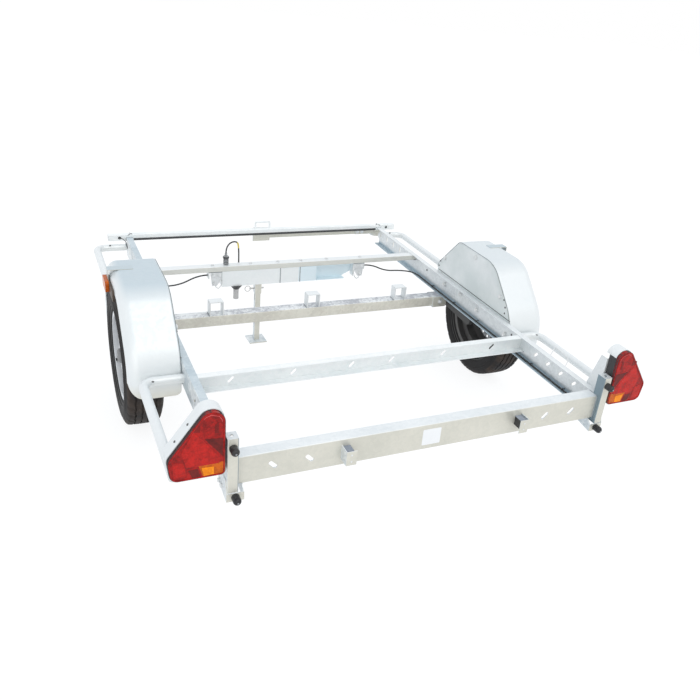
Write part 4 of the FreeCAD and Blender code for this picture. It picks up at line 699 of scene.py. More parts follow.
def build_finishes(settings):
    """Make every material and give each CAD node its own."""
    light, dark = settings.zinc_light, settings.zinc_dark
    even = settings.plain_light, settings.plain_dark
    pale = settings.pale_light, settings.pale_dark
    guard = settings.guard_light, settings.guard_dark
    # Painted shade low on the right rail, and in the warm tint at the left mudguard's foot
    rail_low_shade = settings.rail_low, settings.rail_pace, settings.rail_low_shade
    dusty = settings.guard_shade_height, settings.guard_pace, settings.dust
    zinc("galvanised_steel", settings, light, dark)
    zinc("zinc_rear", settings, light, dark, white=0.7)
    zinc("zinc_post", settings, light, dark, white=0.5, inner=1)
    zinc("zinc_rail_left", settings, light, dark, mottle=1.6, sky=0.65)
    # The right rail gets lighter dull crystals than the left: painted light on its inner web
    zinc("zinc_rail_right", settings, light, settings.rail_lit_dark, mottle=0.9, white=0.5, below=rail_low_shade)
    zinc("zinc_axle", settings, light, settings.axle_dark, mottle=1.9)
    zinc("zinc_even", settings, *even, reflection_and_shade=0.25, mottle=0.4, white=0.4)
    zinc("zinc_second", settings, *even, reflection_and_shade=0.7, mottle=0.4, white=0.4)
    zinc("zinc_pale", settings, *pale, reflection_and_shade=0.12, mottle=0.7)
    zinc("zinc_beam", settings, *pale, reflection_and_shade=0.1, mottle=0.35, blue_from=settings.beam_blue)
    # The tabs get darker colours than the mudguards: painted shade
    zinc("zinc_tab", settings, settings.plate_dark, dark, mottle=0.3, sky=0.6)
    zinc("zinc_plate", settings, guard[0], settings.plate_dark, mottle=2.2, patch_share=0.45, grain=0.12)
    zinc("mudguard_steel", settings, *guard, reflection_and_shade=0.1, mottle=0.3, sky=0.8, below=dusty)
    zinc("mudguard_steel_right", settings, *guard, reflection_and_shade=0.1, mottle=0.3, sky=0.3)
    for values in PAINTS:
        paint(*values)
    for values in LENSES:
        lens(*values)
    wheel_paint("wheel_silver", settings)
    tyre_rubber("tyre_rubber", settings)
    buffer_rubber("buffer_rubber", settings)
    for name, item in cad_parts.items():
        item.data.materials.clear()
        item.data.materials.append(look(next(finish for start, finish in FINISHES if name.startswith(start))))


class TrailerTyres(bpy.types.PropertyGroup):
    """Sizes of the tyres' looks."""

    steps: number("Steps", "Segments round the tyre", 216)
    rib_steps: number("Zigzag steps", "Segments in one zigzag of a groove", 6)
    groove_deep: length("Groove depth", "Depth of the tread grooves", 0.006)
    groove_half: length("Half groove", "Half the width of a tread groove", 0.003)
    groove_pitch: length("Groove pitch", "From one groove to the next", 0.025)
    zigzag: length("Zigzag", "How far a groove swings to either side", 0.0014)
    notch_deep: length("Notch depth", "Depth of the notches in the shoulders", 0.0045)
    ridge: length("Ridge", "Height of the rings on the sidewall", 0.0009)
    ridge_half: length("Half ridge", "Half the width of a ring on the sidewall", 0.0011)


# Tyre section from the bead to the shoulder: distance from its middle and radius
TYRE_WALL = (
    (54.5, 165.4), (53.2, 172), (54.4, 181.5), (57.6, 188.2), (62, 193.2), (66, 198.6), (69.2, 205.5),
    (71.3, 213.5), (72.4, 223.2), (72.3, 233), (71.2, 243), (69, 252.5), (66.2, 261.5), (62.8, 269.4),
    (59, 274.6), (55.5, 277.6),
)
TYRE_RINGS = (185.2, 202, 209, 238, 248)
TYRE_CROWN = 2.4
TREAD_HALF = 55.5
SHOULDER_FROM, SHOULDER_TO = 47, 64
GROOVE_SHARES = (-1.5, -0.5, 0.5, 1.5)

# Width of a groove at its lip and its floor for each half width, and the depth of the lip
GROOVE_LIP_SHARE, GROOVE_FLOOR_SHARE, GROOVE_LIP = 1.2, 0.7, 1


def wall_points(settings):
    """Sidewall section with its raised rings."""
    ridge, half = settings.ridge / MM, settings.ridge_half / MM
    points = []
    ends = TYRE_WALL[1:] + ((TREAD_HALF, TYRE_RADIUS),)
    for (x, radius), (next_x, next_radius) in zip(TYRE_WALL, ends):
        points.append((x, radius))
        for ring in TYRE_RINGS:
            if radius < ring - half and ring + half < next_radius:
                for shift, lift in ((-half, 0), (-half / 2, ridge), (half / 2, ridge), (half, 0)):
                    part = (ring + shift - radius) / (next_radius - radius)
                    points.append((x + (next_x - x) * part + lift, ring + shift))
    return points


def tyre(settings, side, word):
    """A tyre with ribs, zigzag grooves, notched shoulders and rings on its sidewalls."""
    form = Form()
    deep, half = settings.groove_deep / MM, settings.groove_half / MM
    pitch, swing = settings.groove_pitch / MM, settings.zigzag / MM
    drops = ((GROOVE_LIP_SHARE, 0), (1, GROOVE_LIP), (GROOVE_FLOOR_SHARE, deep))
    wall = wall_points(settings)
    centre = at(side * WHEEL_OUT, WHEEL_AHEAD, WHEEL_DOWN)
    period = settings.rib_steps
    rows = []
    for step in range(settings.steps):
        phase = (step % period) / period
        zig = swing * (4 * abs(phase - 0.5) - 1)
        section = [(-x, radius) for x, radius in wall]
        for place_share in GROOVE_SHARES:
            middle = place_share * pitch + zig * (1 if abs(place_share) > 1 else -1)
            crown = TYRE_RADIUS - TYRE_CROWN * (middle / TREAD_HALF) ** 2
            section += [(middle - half * wide, crown - drop) for wide, drop in drops]
            section += [(middle + half * wide, crown - drop) for wide, drop in reversed(drops)]
        section += reversed(wall)
        notched = step % period == 0
        angle = FULL_TURN * step / settings.steps
        ahead, up = math.cos(angle), math.sin(angle)
        row = []
        for x, radius in section:
            shoulder = SHOULDER_FROM < abs(x) < SHOULDER_TO and radius > TREAD_FOOT
            reach = radius - settings.notch_deep / MM if notched and shoulder else radius
            row.append(form.point(centre + across(x, reach * ahead, reach * up)))
        rows.append(row)
    rows.append(rows[0])
    form.skin(rows)
    form.made(f"tyre_tread_{word}", "tyre_rubber", f"wheel_{word}", "tyre_rubber", (f"tyre_{word}",))


def build_tyres(settings):
    """Both tyres."""
    for side, word in SIDES:
        tyre(settings, side, word)


class TrailerWheels(bpy.types.PropertyGroup):
    """Sizes of the nuts and valves on the wheels."""

    stud_circle: length("Stud circle", "Radius of the circle of wheel nuts", 0.050)
    stud_thread: length("Stud thread", "Thread of the wheel nuts", 0.012)
    disc_face: length("Disc face", "From the wheel's middle to the face the nuts sit on", 0.0336)
    valve_radius: length("Valve radius", "Radius of the rubber valve", 0.006)
    valve_long: length("Valve length", "How far the valve stands out", 0.026)
    valve_circle: length("Valve circle", "How far from the axle the valve stands", 0.151)


# Studs of a wheel and how far they show. Valve: how far round, its foot and the steps along it
STUDS, STUD_SHOWN = 4, 5
VALVE_TURN = math.radians(327)
VALVE_FOOT, VALVE_FLANGE, VALVE_NECK = 33, 3, 6

# Widths of the valve for its radius, and where its waist and cap begin along it
FLANGE_SHARE, WAIST_SHARE, TIP_SHARE = 1.5, 0.8, 0.9
WAIST_AT_SHARE, CAP_AT_SHARE = 0.6, 0.62


def build_wheels(settings):
    """Wheel nuts and valves."""
    radius, long = settings.valve_radius / MM, settings.valve_long / MM
    flange = radius * FLANGE_SHARE
    stem = [(0, 0), (0, flange), (VALVE_FLANGE, flange), (VALVE_NECK, radius)]
    stem += [(long * WAIST_AT_SHARE, radius * WAIST_SHARE), (long * CAP_AT_SHARE, radius)]
    stem += [(long, radius * TIP_SHARE), (long, 0)]
    spoke = Vector((0, math.cos(VALVE_TURN), math.sin(VALVE_TURN)))
    for side, word in SIDES:
        outward = (side, 0, 0)
        nuts, valve = Form(), Form()
        centre = at(side * WHEEL_OUT, WHEEL_AHEAD, WHEEL_DOWN)
        face = centre + Vector((side * settings.disc_face, 0, 0))
        for index in range(STUDS):
            angle = FULL_TURN * index / STUDS
            spot = face + Vector((0, math.cos(angle), math.sin(angle))) * settings.stud_circle
            bolt(nuts, spot, outward, settings.stud_thread / MM, shown=STUD_SHOWN, washer=False)
        nuts.made(f"wheel_nuts_{word}", "bolt_zinc", f"wheel_{word}", "pin_steel")
        foot = centre + across(side * VALVE_FOOT, 0, 0) + spoke * settings.valve_circle
        valve.lathe(foot, outward, stem, THREAD_STEPS)
        valve.made(f"valve_{word}", "black_plastic", f"wheel_{word}", "black_plastic")


# Fasteners on both sides. Rails, posts and mudguards have (y, z), the rest has x outward as well
WEB_NUTS = ((1210, -41), (1052, -30), (896, -47), (651, -60))
WEB_HOLES = ((1406, -40), (605, -40))
GUARD_BOLTS = ((1247, 86), (981, 186), (742, 87))
GUARD_RIVETS = ((709, 84), (691, 55), (688, 28), (1288, 56), (1296, 28))
STRAP_BOLTS = ((30, -114), (58, -114))
MEMBER_BOLTS = ((388, 1556, -3), (200, 1556, -3), (60, 1556, -3))
PLATE_GUARD_BOLTS = ((331, -45, -34), (331, -45, -58))

# Bolts through the axle beam: place and whether they point back or ahead
BEAM_BOLTS = ((683, 1181, -122, -1), (683, 1259, -122, 1))

# Studs on top of the side tubes, left and right
TUBE_STUDS = ((-832, 573, -38), (832, 573, -38), (-800, 2003, -38), (783, 2003, -38))

# How far thread ends and dark holes stand out, and threads and radii that need no setting
NUT_SHOWN, BEAM_SHOWN, HOLE_PROUD = 4, 3, 0.5
STRAP_STEEL, STRAP_THREAD, BEAM_THREAD, PLATE_RIVET, TUBE_STUD = 3, 8, 10, 3.4, 5


class TrailerFasteners(bpy.types.PropertyGroup):
    """Threads of the bolts and radii of the rivets."""

    web_thread: length("Web nuts", "Thread of the nuts inside the rails", 0.012)
    guard_thread: length("Guard bolts", "Thread of the bolts in the mudguards' flat sides", 0.010)
    member_thread: length("Member bolts", "Thread of the bolts on the second member", 0.008)
    rivet_radius: length("Rivets", "Radius of the mudguard rivets", 0.0045)
    hole_radius: length("Plug holes", "Radius of the dark blind holes in the rails", 0.006)


def forms(count):
    """Some empty forms."""
    return [Form() for _ in range(count)]


def build_fasteners(settings):
    """Bolts, nuts, rivets and dark blind holes."""
    inner, plate, strap = HALF_WIDTH - RAIL_STEEL, HALF_WIDTH + SHEET_STEEL, HALF_WIDTH + STRAP_STEEL
    thread = settings.guard_thread / MM
    radius = settings.hole_radius / MM
    hole = [(0, 0), (0, radius), (HOLE_PROUD, radius), (HOLE_PROUD, 0)]
    nuts, dark, guard, rivets, deck, tubes = forms(6)
    for side, _ in SIDES:
        inward, outward = (-side, 0, 0), (side, 0, 0)
        for y, z in WEB_NUTS:
            bolt(nuts, at(side * inner, y, z), inward, settings.web_thread / MM, shown=NUT_SHOWN)
        for y, z in WEB_HOLES:
            dark.lathe(at(side * inner, y, z), inward, hole, RIVET_STEPS)
        for y, z in GUARD_BOLTS:
            bolt(guard, at(side * HALF_WIDTH, y, z), inward, thread)
            bolt(guard, at(side * plate, y, z), outward, thread, shown=NUT_SHOWN)
        for y, z in GUARD_RIVETS:
            rivet(rivets, at(side * HALF_WIDTH, y, z), inward, settings.rivet_radius / MM)
        for spot in MEMBER_BOLTS:
            bolt(deck, beside(side, spot), UP, settings.member_thread / MM)
        for spot in PLATE_GUARD_BOLTS:
            rivet(deck, beside(side, spot), BACK, PLATE_RIVET)
        for y, z in STRAP_BOLTS:
            bolt(deck, at(side * strap, y, z), outward, STRAP_THREAD)
        for *spot, way in BEAM_BOLTS:
            bolt(deck, beside(side, spot), (0, way, 0), BEAM_THREAD, shown=BEAM_SHOWN)
    nuts.made("rail_nuts", "bolt_zinc", CHASSIS, "pin_steel")
    dark.made("rail_blind_holes", "dark_steel", CHASSIS, "black_plastic")
    guard.made("mudguard_bolts", "bolt_zinc", CHASSIS, "pin_steel")
    rivets.made("mudguard_rivets", "dark_steel", CHASSIS, "pin_steel")
    deck.made("member_bolts", "bolt_zinc", CHASSIS, "pin_steel")
    for spot in TUBE_STUDS:
        rivet(tubes, at(*spot), UP, TUBE_STUD)
    tubes.made("tube_studs", "dark_steel", CHASSIS, "pin_steel")


# Weld beads as pairs of ends, on both sides
MIRRORED_WELDS = (
    ((717, 1533, -3), (717, 1533, -29)), ((717, 1579, -3), (717, 1579, -29)),
    ((700, 1533, -29), (716, 1533, -29)), ((717, 535, -6), (717, 535, -66)),
    ((717, 500, -69), (717, 535, -69)), ((688, 2004, -1), (720, 2004, -1)),
    ((721, 2004, -3), (721, 2004, -17)), ((722, 604, -36), (722, 622, -44)),
    ((722, 2016, -36), (722, 1998, -44)), ((345, 1538, -31), (409, 1538, -31)),
    ((52, 1533, -29), (52, 1533, -108)), ((686, 0, -2), (686, 46, -2)), ((686, -1, -4), (686, -1, -94)),
)
FRONT_MARKS = (((690, 2018, 15), (712, 2000, 14)), ((702, 2030, 15), (690, 2008, 15)))

# Beads along both edges of each saddle: middles, distance to the edge, ends and height
SADDLES, SADDLE_EDGE = (-455, 0, 455), 32
SADDLE_BACK, SADDLE_AHEAD, SADDLE_FOOT = 1192, 1232, -97


class TrailerWelds(bpy.types.PropertyGroup):
    """Sizes of the weld beads."""

    bead: length("Bead", "Radius of the weld beads", 0.0028)
    mark: length("Dark mark", "Radius of the dark beads on the front crossbar", 0.002)


def build_welds(settings):
    """Weld beads where the members meet."""
    bead = settings.bead / MM
    form, marks = Form(), Form()
    for side, _ in SIDES:
        for start, end in MIRRORED_WELDS:
            weld(form, beside(side, start), beside(side, end), bead)
        for start, end in FRONT_MARKS:
            weld(marks, beside(side, start), beside(side, end), settings.mark / MM)
    for middle in SADDLES:
        for side, _ in SIDES:
            x = middle + side * SADDLE_EDGE
            weld(form, at(x, SADDLE_BACK, SADDLE_FOOT), at(x, SADDLE_AHEAD, SADDLE_FOOT), bead)
    form.made("weld_beads", "weld_grey", CHASSIS, "galvanised_steel")
    marks.made("front_weld_marks", "dark_steel", CHASSIS, "galvanised_steel")


# Tail lamp outline, as distances outward and heights
LAMP_CORNERS = ((727, -35), (727, 259), (891, 35), (882, -35))
LAMP_RADII = (14, 37, 30, 24)
LAMP_STEPS = 7
LAMP_FACE = -20

# Zones of the lamp's face: name, finish, slot and outlines
LAMP_ZONES = (
    ("deep", "lens_red_deep", "lens_red", (
        ((746, 112), (746, 150), (757, 140), (757, 112)),
        ((798, 122), (800, 150), (822, 138), (816, 126)),
    )),
    ("brown", "lens_brown", "lens_red", (
        ((786, 97), (734, 93), (734, 30)),
        ((833, -1), (806, -1), (797, -31), (822, -31)),
    )),
    ("bright", "lens_red_warm", "lens_red", (
        ((818, 126), (789, 92), (740, 22), (746, 8), (838, 8), (852, 60)),
        ((877, 34), (846, 26), (838, -22), (876, -20)),
    )),
    ("amber", "lens_amber_bright", "lens_amber", (
        ((795, 0), (760, -2), (760, -28), (789, -30)),
    )),
)

# Rim: depths of its three rounds and how far it stands out. Painted highlight line: how far in and proud it
# runs
RIM_DEPTHS, RIM_OUT = (-18, -12, -7), 0.4
HIGHLIGHT_IN, HIGHLIGHT_PROUD = 8, 0.4
HIGHLIGHT_SHARES = (0.2, 0.7, 1, 1, 1, 0.9, 0.6, 0.2)

# Screws of the lamp's band: how far down its slope, and the band's middle and thickness
LAMP_SCREWS, BAND_MIDDLE, BAND_STEEL = (162, 225), 18, 3


class TrailerLamps(bpy.types.PropertyGroup):
    """Sizes of the lamps' details."""

    rim: length("Rim", "Radius of the black rim round the lens", 0.0014)
    bevel: length("Bevel", "Radius of the raised edge of the lens", 0.0022)
    bevel_in: length("Bevel inset", "How far in from the edge the raised edge runs", 0.0032)
    zone: length("Zone", "How far the zones stand off the lens", 0.0005)
    screw: length("Screw", "Radius of the lamp band's screws", 0.0042)
    # Painted highlight line under the lamp's top
    shine: length("Shine", "Radius of the pale line under the lamp's top", 0.0013)


def lamp_path(side, around, y, out):
    """The lamp's outline at a depth, moved outward, in millimetres."""
    return [at(side * p[0], y, p[1]) + across(side * n[0], 0, n[1]) * out for p, n in around]


def build_lamps(settings):
    """Rims, raised edges, zones, pale lines and screws of the tail lamps."""
    around = rounded(LAMP_CORNERS, LAMP_RADII, LAMP_STEPS)
    tip = around[LAMP_STEPS + 1:2 * LAMP_STEPS + 2]
    top, low = Vector(LAMP_CORNERS[1]), Vector(LAMP_CORNERS[2])
    slope = (low - top).normalized()
    off = Vector((-slope.y, slope.x))
    for side, word in SIDES:
        rim, edge, shine, screws = forms(4)
        for y in RIM_DEPTHS:
            rim.tube(lamp_path(side, around, y, RIM_OUT), settings.rim / MM, closed=True)
        rim.made(f"lamp_rim_{word}", "black_plastic", CHASSIS, "black_plastic")
        raised = lamp_path(side, around, LAMP_FACE, -settings.bevel_in / MM)
        edge.tube(raised, settings.bevel / MM, closed=True)
        edge.made(f"lamp_edge_{word}", "lens_red", CHASSIS, "lens_red")
        for kind, finish, slot, zones in LAMP_ZONES:
            form = Form()
            for corners in zones:
                form.prism([at(side * x, LAMP_FACE, z) for x, z in corners], Vector((0, -settings.zone, 0)))
            form.made(f"lamp_zone_{kind}_{word}", finish, CHASSIS, slot)
        # Painted highlight line along the lamp's top arc
        thin = [settings.shine / MM * level for level in HIGHLIGHT_SHARES]
        shine.tube(lamp_path(side, tip, LAMP_FACE - HIGHLIGHT_PROUD, -HIGHLIGHT_IN), thin)
        shine.made(f"lamp_shine_{word}", "lens_clear_red", CHASSIS, "lens_red")
        for along in LAMP_SCREWS:
            x, z = top + slope * along + off * BAND_STEEL
            rivet(screws, at(side * x, BAND_MIDDLE, z), (side * off.x, 0, off.y), settings.screw / MM)
        screws.made(f"lamp_screws_{word}", "dark_steel", CHASSIS, "black_plastic")


# Mudguard side view, from its rear foot over the crown to its front foot
GUARD_CORNERS = ((625, -137), (625, 11), (827, 213), (1139, 213), (1311, 41), (1311, -137))
GUARD_RADII = (0.01, 200, 150, 60, 60, 0.01)
GUARD_STEPS = 10
GUARD_WIDE = 187
GUARD_IN, GUARD_OUT = HALF_WIDTH + SHEET_STEEL, HALF_WIDTH + GUARD_WIDE

# Outer lip: how far in it is and its feet. Painted shadow line between rail and mudguard: its ends.
# Inner edge: how far out and in it is
LIP_INSET, LIP_BACK, LIP_AHEAD, LIP_FOOT = 3, 675, 1261, -90
SHADOW_LINE_BACK, SHADOW_LINE_AHEAD = 640, 1296
INNER_PROUD, INNER_INSET = 1.2, 2.6

# Middle of the side marker lamps and how they stand off the mudguards
MARKER_AHEAD, MARKER_UP, MARKER_GAP, MARKER_DEEP = 1040, 154, 8, 14
GLOW_CROWN_SHARE, GLOW_STEPS = 1.2, 20


class TrailerMarkers(bpy.types.PropertyGroup):
    """Sizes of the side marker lamps' details."""

    proud: length("Spot depth", "Thickness of the bright spot", 0.0005)
    bulb: length("Bulb", "Radius of the bright spot", 0.009)


def build_markers(settings):
    """Bright middles of the side marker lamps."""
    radius, proud = settings.bulb / MM, settings.proud / MM
    face = GUARD_OUT + MARKER_GAP + MARKER_DEEP - proud
    profile = [(0, 0), (0, radius), (proud, radius), (proud * GLOW_CROWN_SHARE, 0)]
    for side, word in SIDES:
        glow = Form()
        glow.lathe(at(side * face, MARKER_AHEAD, MARKER_UP), (side, 0, 0), profile, GLOW_STEPS)
        glow.made(f"marker_glow_{word}", "lens_amber_bright", CHASSIS, "lens_amber")


class TrailerGuards(bpy.types.PropertyGroup):
    """Sizes of the mudguards' edges."""

    bead: length("Edge bead", "Radius of the rolled edge of the outer lip", 0.003)
    # Dark line painted as the shadow between the rail and the mudguard's plate
    seam: length("Seam", "Radius of the dark seam along the rail", 0.0018)
    lip: length("Lip", "How deep the outer lip is", 0.05)
    shadow_line_high: length("Seam height", "How far above the rail the dark seam runs", 0.009)
    inner_edge: length("Inner edge", "Radius of the rolled edge beside the rail", 0.0012)


def guard_path(side, x, inset):
    """The mudguard's outline, set in by a distance, without its open foot."""
    pairs = rounded(GUARD_CORNERS, GUARD_RADII, GUARD_STEPS)
    return [at(side * x, *(p - n * inset)) for p, n in pairs[GUARD_STEPS + 1:-GUARD_STEPS - 1]]


def build_guards(settings):
    """Rolled edges and seams of the mudguards."""
    edges, shadow_lines, trim = Form(), Form(), Form()
    lip, level = GUARD_OUT - LIP_INSET, settings.shadow_line_high / MM
    for side, _ in SIDES:
        path = guard_path(side, lip, settings.lip / MM)
        path = [at(side * lip, LIP_BACK, LIP_FOOT), *path, at(side * lip, LIP_AHEAD, LIP_FOOT)]
        edges.tube(path, settings.bead / MM)
        # Painted shadow line between the rail and the mudguard's plate
        shadow_lines.tube([at(side * HALF_WIDTH, y, level) for y in (SHADOW_LINE_BACK, SHADOW_LINE_AHEAD)], settings.seam / MM)
        trim.tube(guard_path(side, GUARD_IN - INNER_PROUD, INNER_INSET), settings.inner_edge / MM)
    edges.made("mudguard_edges", "mudguard_steel", CHASSIS, "mudguard_steel")
    shadow_lines.made("mudguard_seams", "dark_steel", CHASSIS, "mudguard_steel")
    # Dark grey inner rolled edges: painted shade along the mudguards' inner edge
    trim.made("mudguard_inner_edges", "edge_grey", CHASSIS, "mudguard_steel")


# Blank sticker: its middle on the rear crossbar, the radius of its corners and its thickness
STICKER_X, STICKER_Z, STICKER_ROUND, STICKER_STEPS, STICKER_THICK = -18, -50, 4, 4, 0.3
SQUARE = ((-1, -1), (1, -1), (1, 1), (-1, 1))

# Plug: its foot, then its grip rings and collar as heights and radii
PLUG_FOOT = (-322, 1556, -3)
GRIP_LEVELS, GRIP_STEPS = (6, 14, 22, 30), 22
GRIP_RING = ((0, 11), (0.6, 13), (3, 13), (3.6, 11))
GRIP_COLLAR = ((36, 11), (36.6, 15), (42, 15), (43, 11))

# Glass of the plate lamps: how far in from the lamp's side and how thick
GLASS_INSET, GLASS_THICK = 2, 1.5

# Clamps at the stowage beam's hangers, as distances outward and heights, and their depths
HANGER_BACK, CLAMP_STEEL, BOW_BACK = 1532, 2.5, 1527
CLAMP_PLATE = ((404, -31), (348, -31), (352, -70), (372, -98), (396, -98), (400, -60))
CLAMP_NUTS, CLAMP_THREAD, CLAMP_SHOWN = ((390, -44), (360, -46), (384, -82)), 9, 5
CLAMP_BOW = ((352, -50), (346, -74), (352, -98), (366, -112), (378, -104), (380, -92))

# Clips of the looms: how far ahead, then distances outward and heights
CLIP_ROWS = (200, 420, 640, 860, 1080, 1300)
CLIP_BOW = ((694, -90), (698, -85), (705, -84.5), (712, -88))

# Grommets in the front crossbar: place, and section as (along, radius)
GROMMET_OUT = 33
GROMMET_AT = (HALF_WIDTH + GROMMET_OUT, 2005, -1)
GROMMET = ((-2, 4.5), (-0.2, 7), (1.2, 7.4), (1.6, 6), (1, 4.5), (-2, 4.5))

# Ends of the dark strip painted as the shadow under the front crossbar,
# and the route of the hook beside the right side tube
SHADOW_STRIP_END = 684
HOOK = (
    (719.5, 335, -6), (786, 389, -5), (789, 383, -5), (789, 366, -5), (787, 330, -5), (781, 300, -5),
    (772, 283, -5), (748, 259, -5), (719.5, 236, -6),
)

# Painted highlights on the buffers' tips: place, and section as (along, radius)
BUFFER_TIPS = ((703, -53.5, 50), (695.5, -55.5, -127))
BUFFER_HIGHLIGHT = ((0, 0), (0, 3), (0.4, 2.6), (0.5, 0))

# Bolts in the side of the coupling
COUPLING_BOLTS, COUPLING_THREAD = ((592, 2056, -40), (622, 2056, -40)), 10


class TrailerTrim(bpy.types.PropertyGroup):
    """Sizes of the small trim."""

    sticker_wide: length("Sticker width", "Width of the blank sticker on the rear crossbar", 0.07)
    sticker_high: length("Sticker height", "Height of the blank sticker", 0.062)
    glass: length("Glass", "How far the plate lamps' glass stands up", 0.0015)
    glass_wide: length("Glass width", "Width of the plate lamps' glass", 0.028)
    bow: length("Clamp bow", "Radius of the hanger clamps' bows", 0.0026)
    # Dark strip painted as the shadow under the front crossbar
    strip: length("Strip", "Radius of the dark strip under the front crossbar", 0.006)
    clip: length("Clip", "Radius of the clips that hold the cables", 0.0022)
    hook: length("Hook", "Radius of the thin hook beside the right side tube", 0.002)


def build_trim(settings):
    """Sticker, plug grips, glass, clamps, strip, clips, grommets, hook, marks and coupling bolts."""
    sticker, plug, glass, clamps, strip, clips, grommets, hook, dots, bolts = forms(10)
    wide, high = settings.sticker_wide / MM / 2, settings.sticker_high / MM / 2
    corners = [(x * wide, z * high) for x, z in SQUARE]
    around = rounded(corners, [STICKER_ROUND] * len(corners), STICKER_STEPS)
    flat = [at(STICKER_X + p[0], 0, STICKER_Z + p[1]) for p, _ in around]
    sticker.prism(flat, across(0, -STICKER_THICK, 0))
    sticker.made("blank_sticker", "label_white", CHASSIS, "galvanised_steel")
    foot = at(*PLUG_FOOT)
    for level in GRIP_LEVELS:
        plug.lathe(foot, UP, [(level + along, radius) for along, radius in GRIP_RING], GRIP_STEPS)
    plug.lathe(foot, UP, GRIP_COLLAR, GRIP_STEPS)
    plug.made("plug_grips", "black_plastic", CHASSIS, "black_plastic")
    (_, back, _), (lamp_out, _, lamp_top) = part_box("plate_lamps")
    for side, _ in SIDES:
        out, into = side * (lamp_out - GLASS_INSET * MM), side * (lamp_out - settings.glass_wide)
        corners = ((out, back), (into, back), (into, DATUM_Y), (out, DATUM_Y))
        pane = [Vector((x, y, lamp_top + settings.glass)) for x, y in corners]
        glass.prism(pane, across(0, 0, -GLASS_THICK))
        plate = [at(side * x, HANGER_BACK, z) for x, z in CLAMP_PLATE]
        clamps.prism(plate, across(0, -CLAMP_STEEL, 0))
        for x, z in CLAMP_NUTS:
            bolt(clamps, at(side * x, HANGER_BACK - CLAMP_STEEL, z), BACK, CLAMP_THREAD, shown=CLAMP_SHOWN)
        clamps.tube([at(side * x, BOW_BACK, z) for x, z in CLAMP_BOW], settings.bow / MM)
        for y in CLIP_ROWS:
            clips.tube([at(side * x, y, z) for x, z in CLIP_BOW], settings.clip / MM)
        grommets.lathe(beside(side, GROMMET_AT), BACK, GROMMET, WASHER_STEPS)
        # Painted highlights on the buffers' tips
        for spot in BUFFER_TIPS:
            dots.lathe(beside(side, spot), BACK, BUFFER_HIGHLIGHT, RIVET_STEPS)
    # Dark strip painted as the shadow under the front crossbar's back edge
    _, bar_back, bar_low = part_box("front_crossbar")[0]
    ends = [Vector((side * SHADOW_STRIP_END * MM, bar_back, bar_low + settings.strip)) for side, _ in SIDES]
    strip.tube(ends, settings.strip / MM)
    hook.tube([at(*spot) for spot in HOOK], settings.hook / MM)
    for spot in COUPLING_BOLTS:
        bolt(bolts, at(*spot), BACK, COUPLING_THREAD)
    glass.made("plate_lamp_glass", "glass_grey", CHASSIS, "black_plastic")
    clamps.made("hanger_clamps", "bolt_zinc", CHASSIS, "pin_steel")
    strip.made("front_bar_strip", "black_plastic", CHASSIS, "black_plastic")
    clips.made("cable_clips", "black_plastic", CHASSIS, "black_plastic")
    grommets.made("bar_grommets", "black_plastic", CHASSIS, "black_plastic")
    hook.made("side_hook", "bolt_zinc", CHASSIS, "galvanised_steel")
    dots.made("buffer_marks", "mark_grey", CHASSIS, "buffer_rubber")
    bolts.made("coupling_bolts", "bolt_zinc", "drawbar", "pin_steel")


# Cord routes, the same as in the part
LEAD = (
    (-322, 1556, 57), (-322, 1556, 82), (-298.6, 1565.5, 107), (-265.84, 1575, 107), (-244, 1611, 73),
    (-244, 1611, -80), (-244, 1575.3, -80),
)
LOOM = (
    (411.3, 1556, -50), (458, 1556, -50), (542.6, 1549, -88), (630.1, 1542, -88), (696, 1500, -87.7),
    (703, 1388, -91.2), (703, -16.7, -91.2),
)

# Route of a short lead that is made here alone
BAR_LEAD = ((-753, 2004, -1), (-741, 1990, 1), (-727, 1984, -12), (-722.5, 1974, -30), (-722.5, 1960, -42))

# Order of the curves, and their segments round and along
CORD_ORDER, CORD_ROUND, CORD_STEPS = 3, 3, 12


class TrailerCords(bpy.types.PropertyGroup):
    """Sizes of the cables."""

    thick: length("Cable", "Diameter of the cables", 0.007)
    thin: length("Thin cable", "Diameter of the short lead on the front crossbar", 0.0035)
    sleeve: length("Sleeve", "Radius of the yellow sleeve on the lead", 0.0042)
    from_share: share("Sleeve from", "Where the yellow sleeve begins along the lead", 0.53)
    to_share: share("Sleeve to", "Where the yellow sleeve ends along the lead", 0.70)


def cord(name, spots, thick, nodes=()):
    """A cable as a curve through its route."""
    curve = bpy.data.curves.new(name, "CURVE")
    curve.dimensions = "3D"
    curve.bevel_depth = thick / 2
    curve.bevel_resolution = CORD_ROUND
    curve.resolution_u = CORD_STEPS
    curve.use_fill_caps = True
    line = curve.splines.new("NURBS")
    line.points.add(len(spots) - 1)
    for point, spot in zip(line.points, spots):
        point.co = (*spot, 1)
    line.order_u = CORD_ORDER
    line.use_endpoint_u = True
    curve.materials.append(look("cable_black"))
    item = linked(name, curve)
    carry(item, CHASSIS, nodes)
    return item


def line_points(item):
    """Points along a cable's own line."""
    bare = item.data.copy()
    bare.bevel_depth = 0
    helper = bpy.data.objects.new("line", bare)
    mesh = bpy.data.meshes.new_from_object(helper)
    points = [vertex.co.copy() for vertex in mesh.vertices]
    bpy.data.objects.remove(helper)
    return points


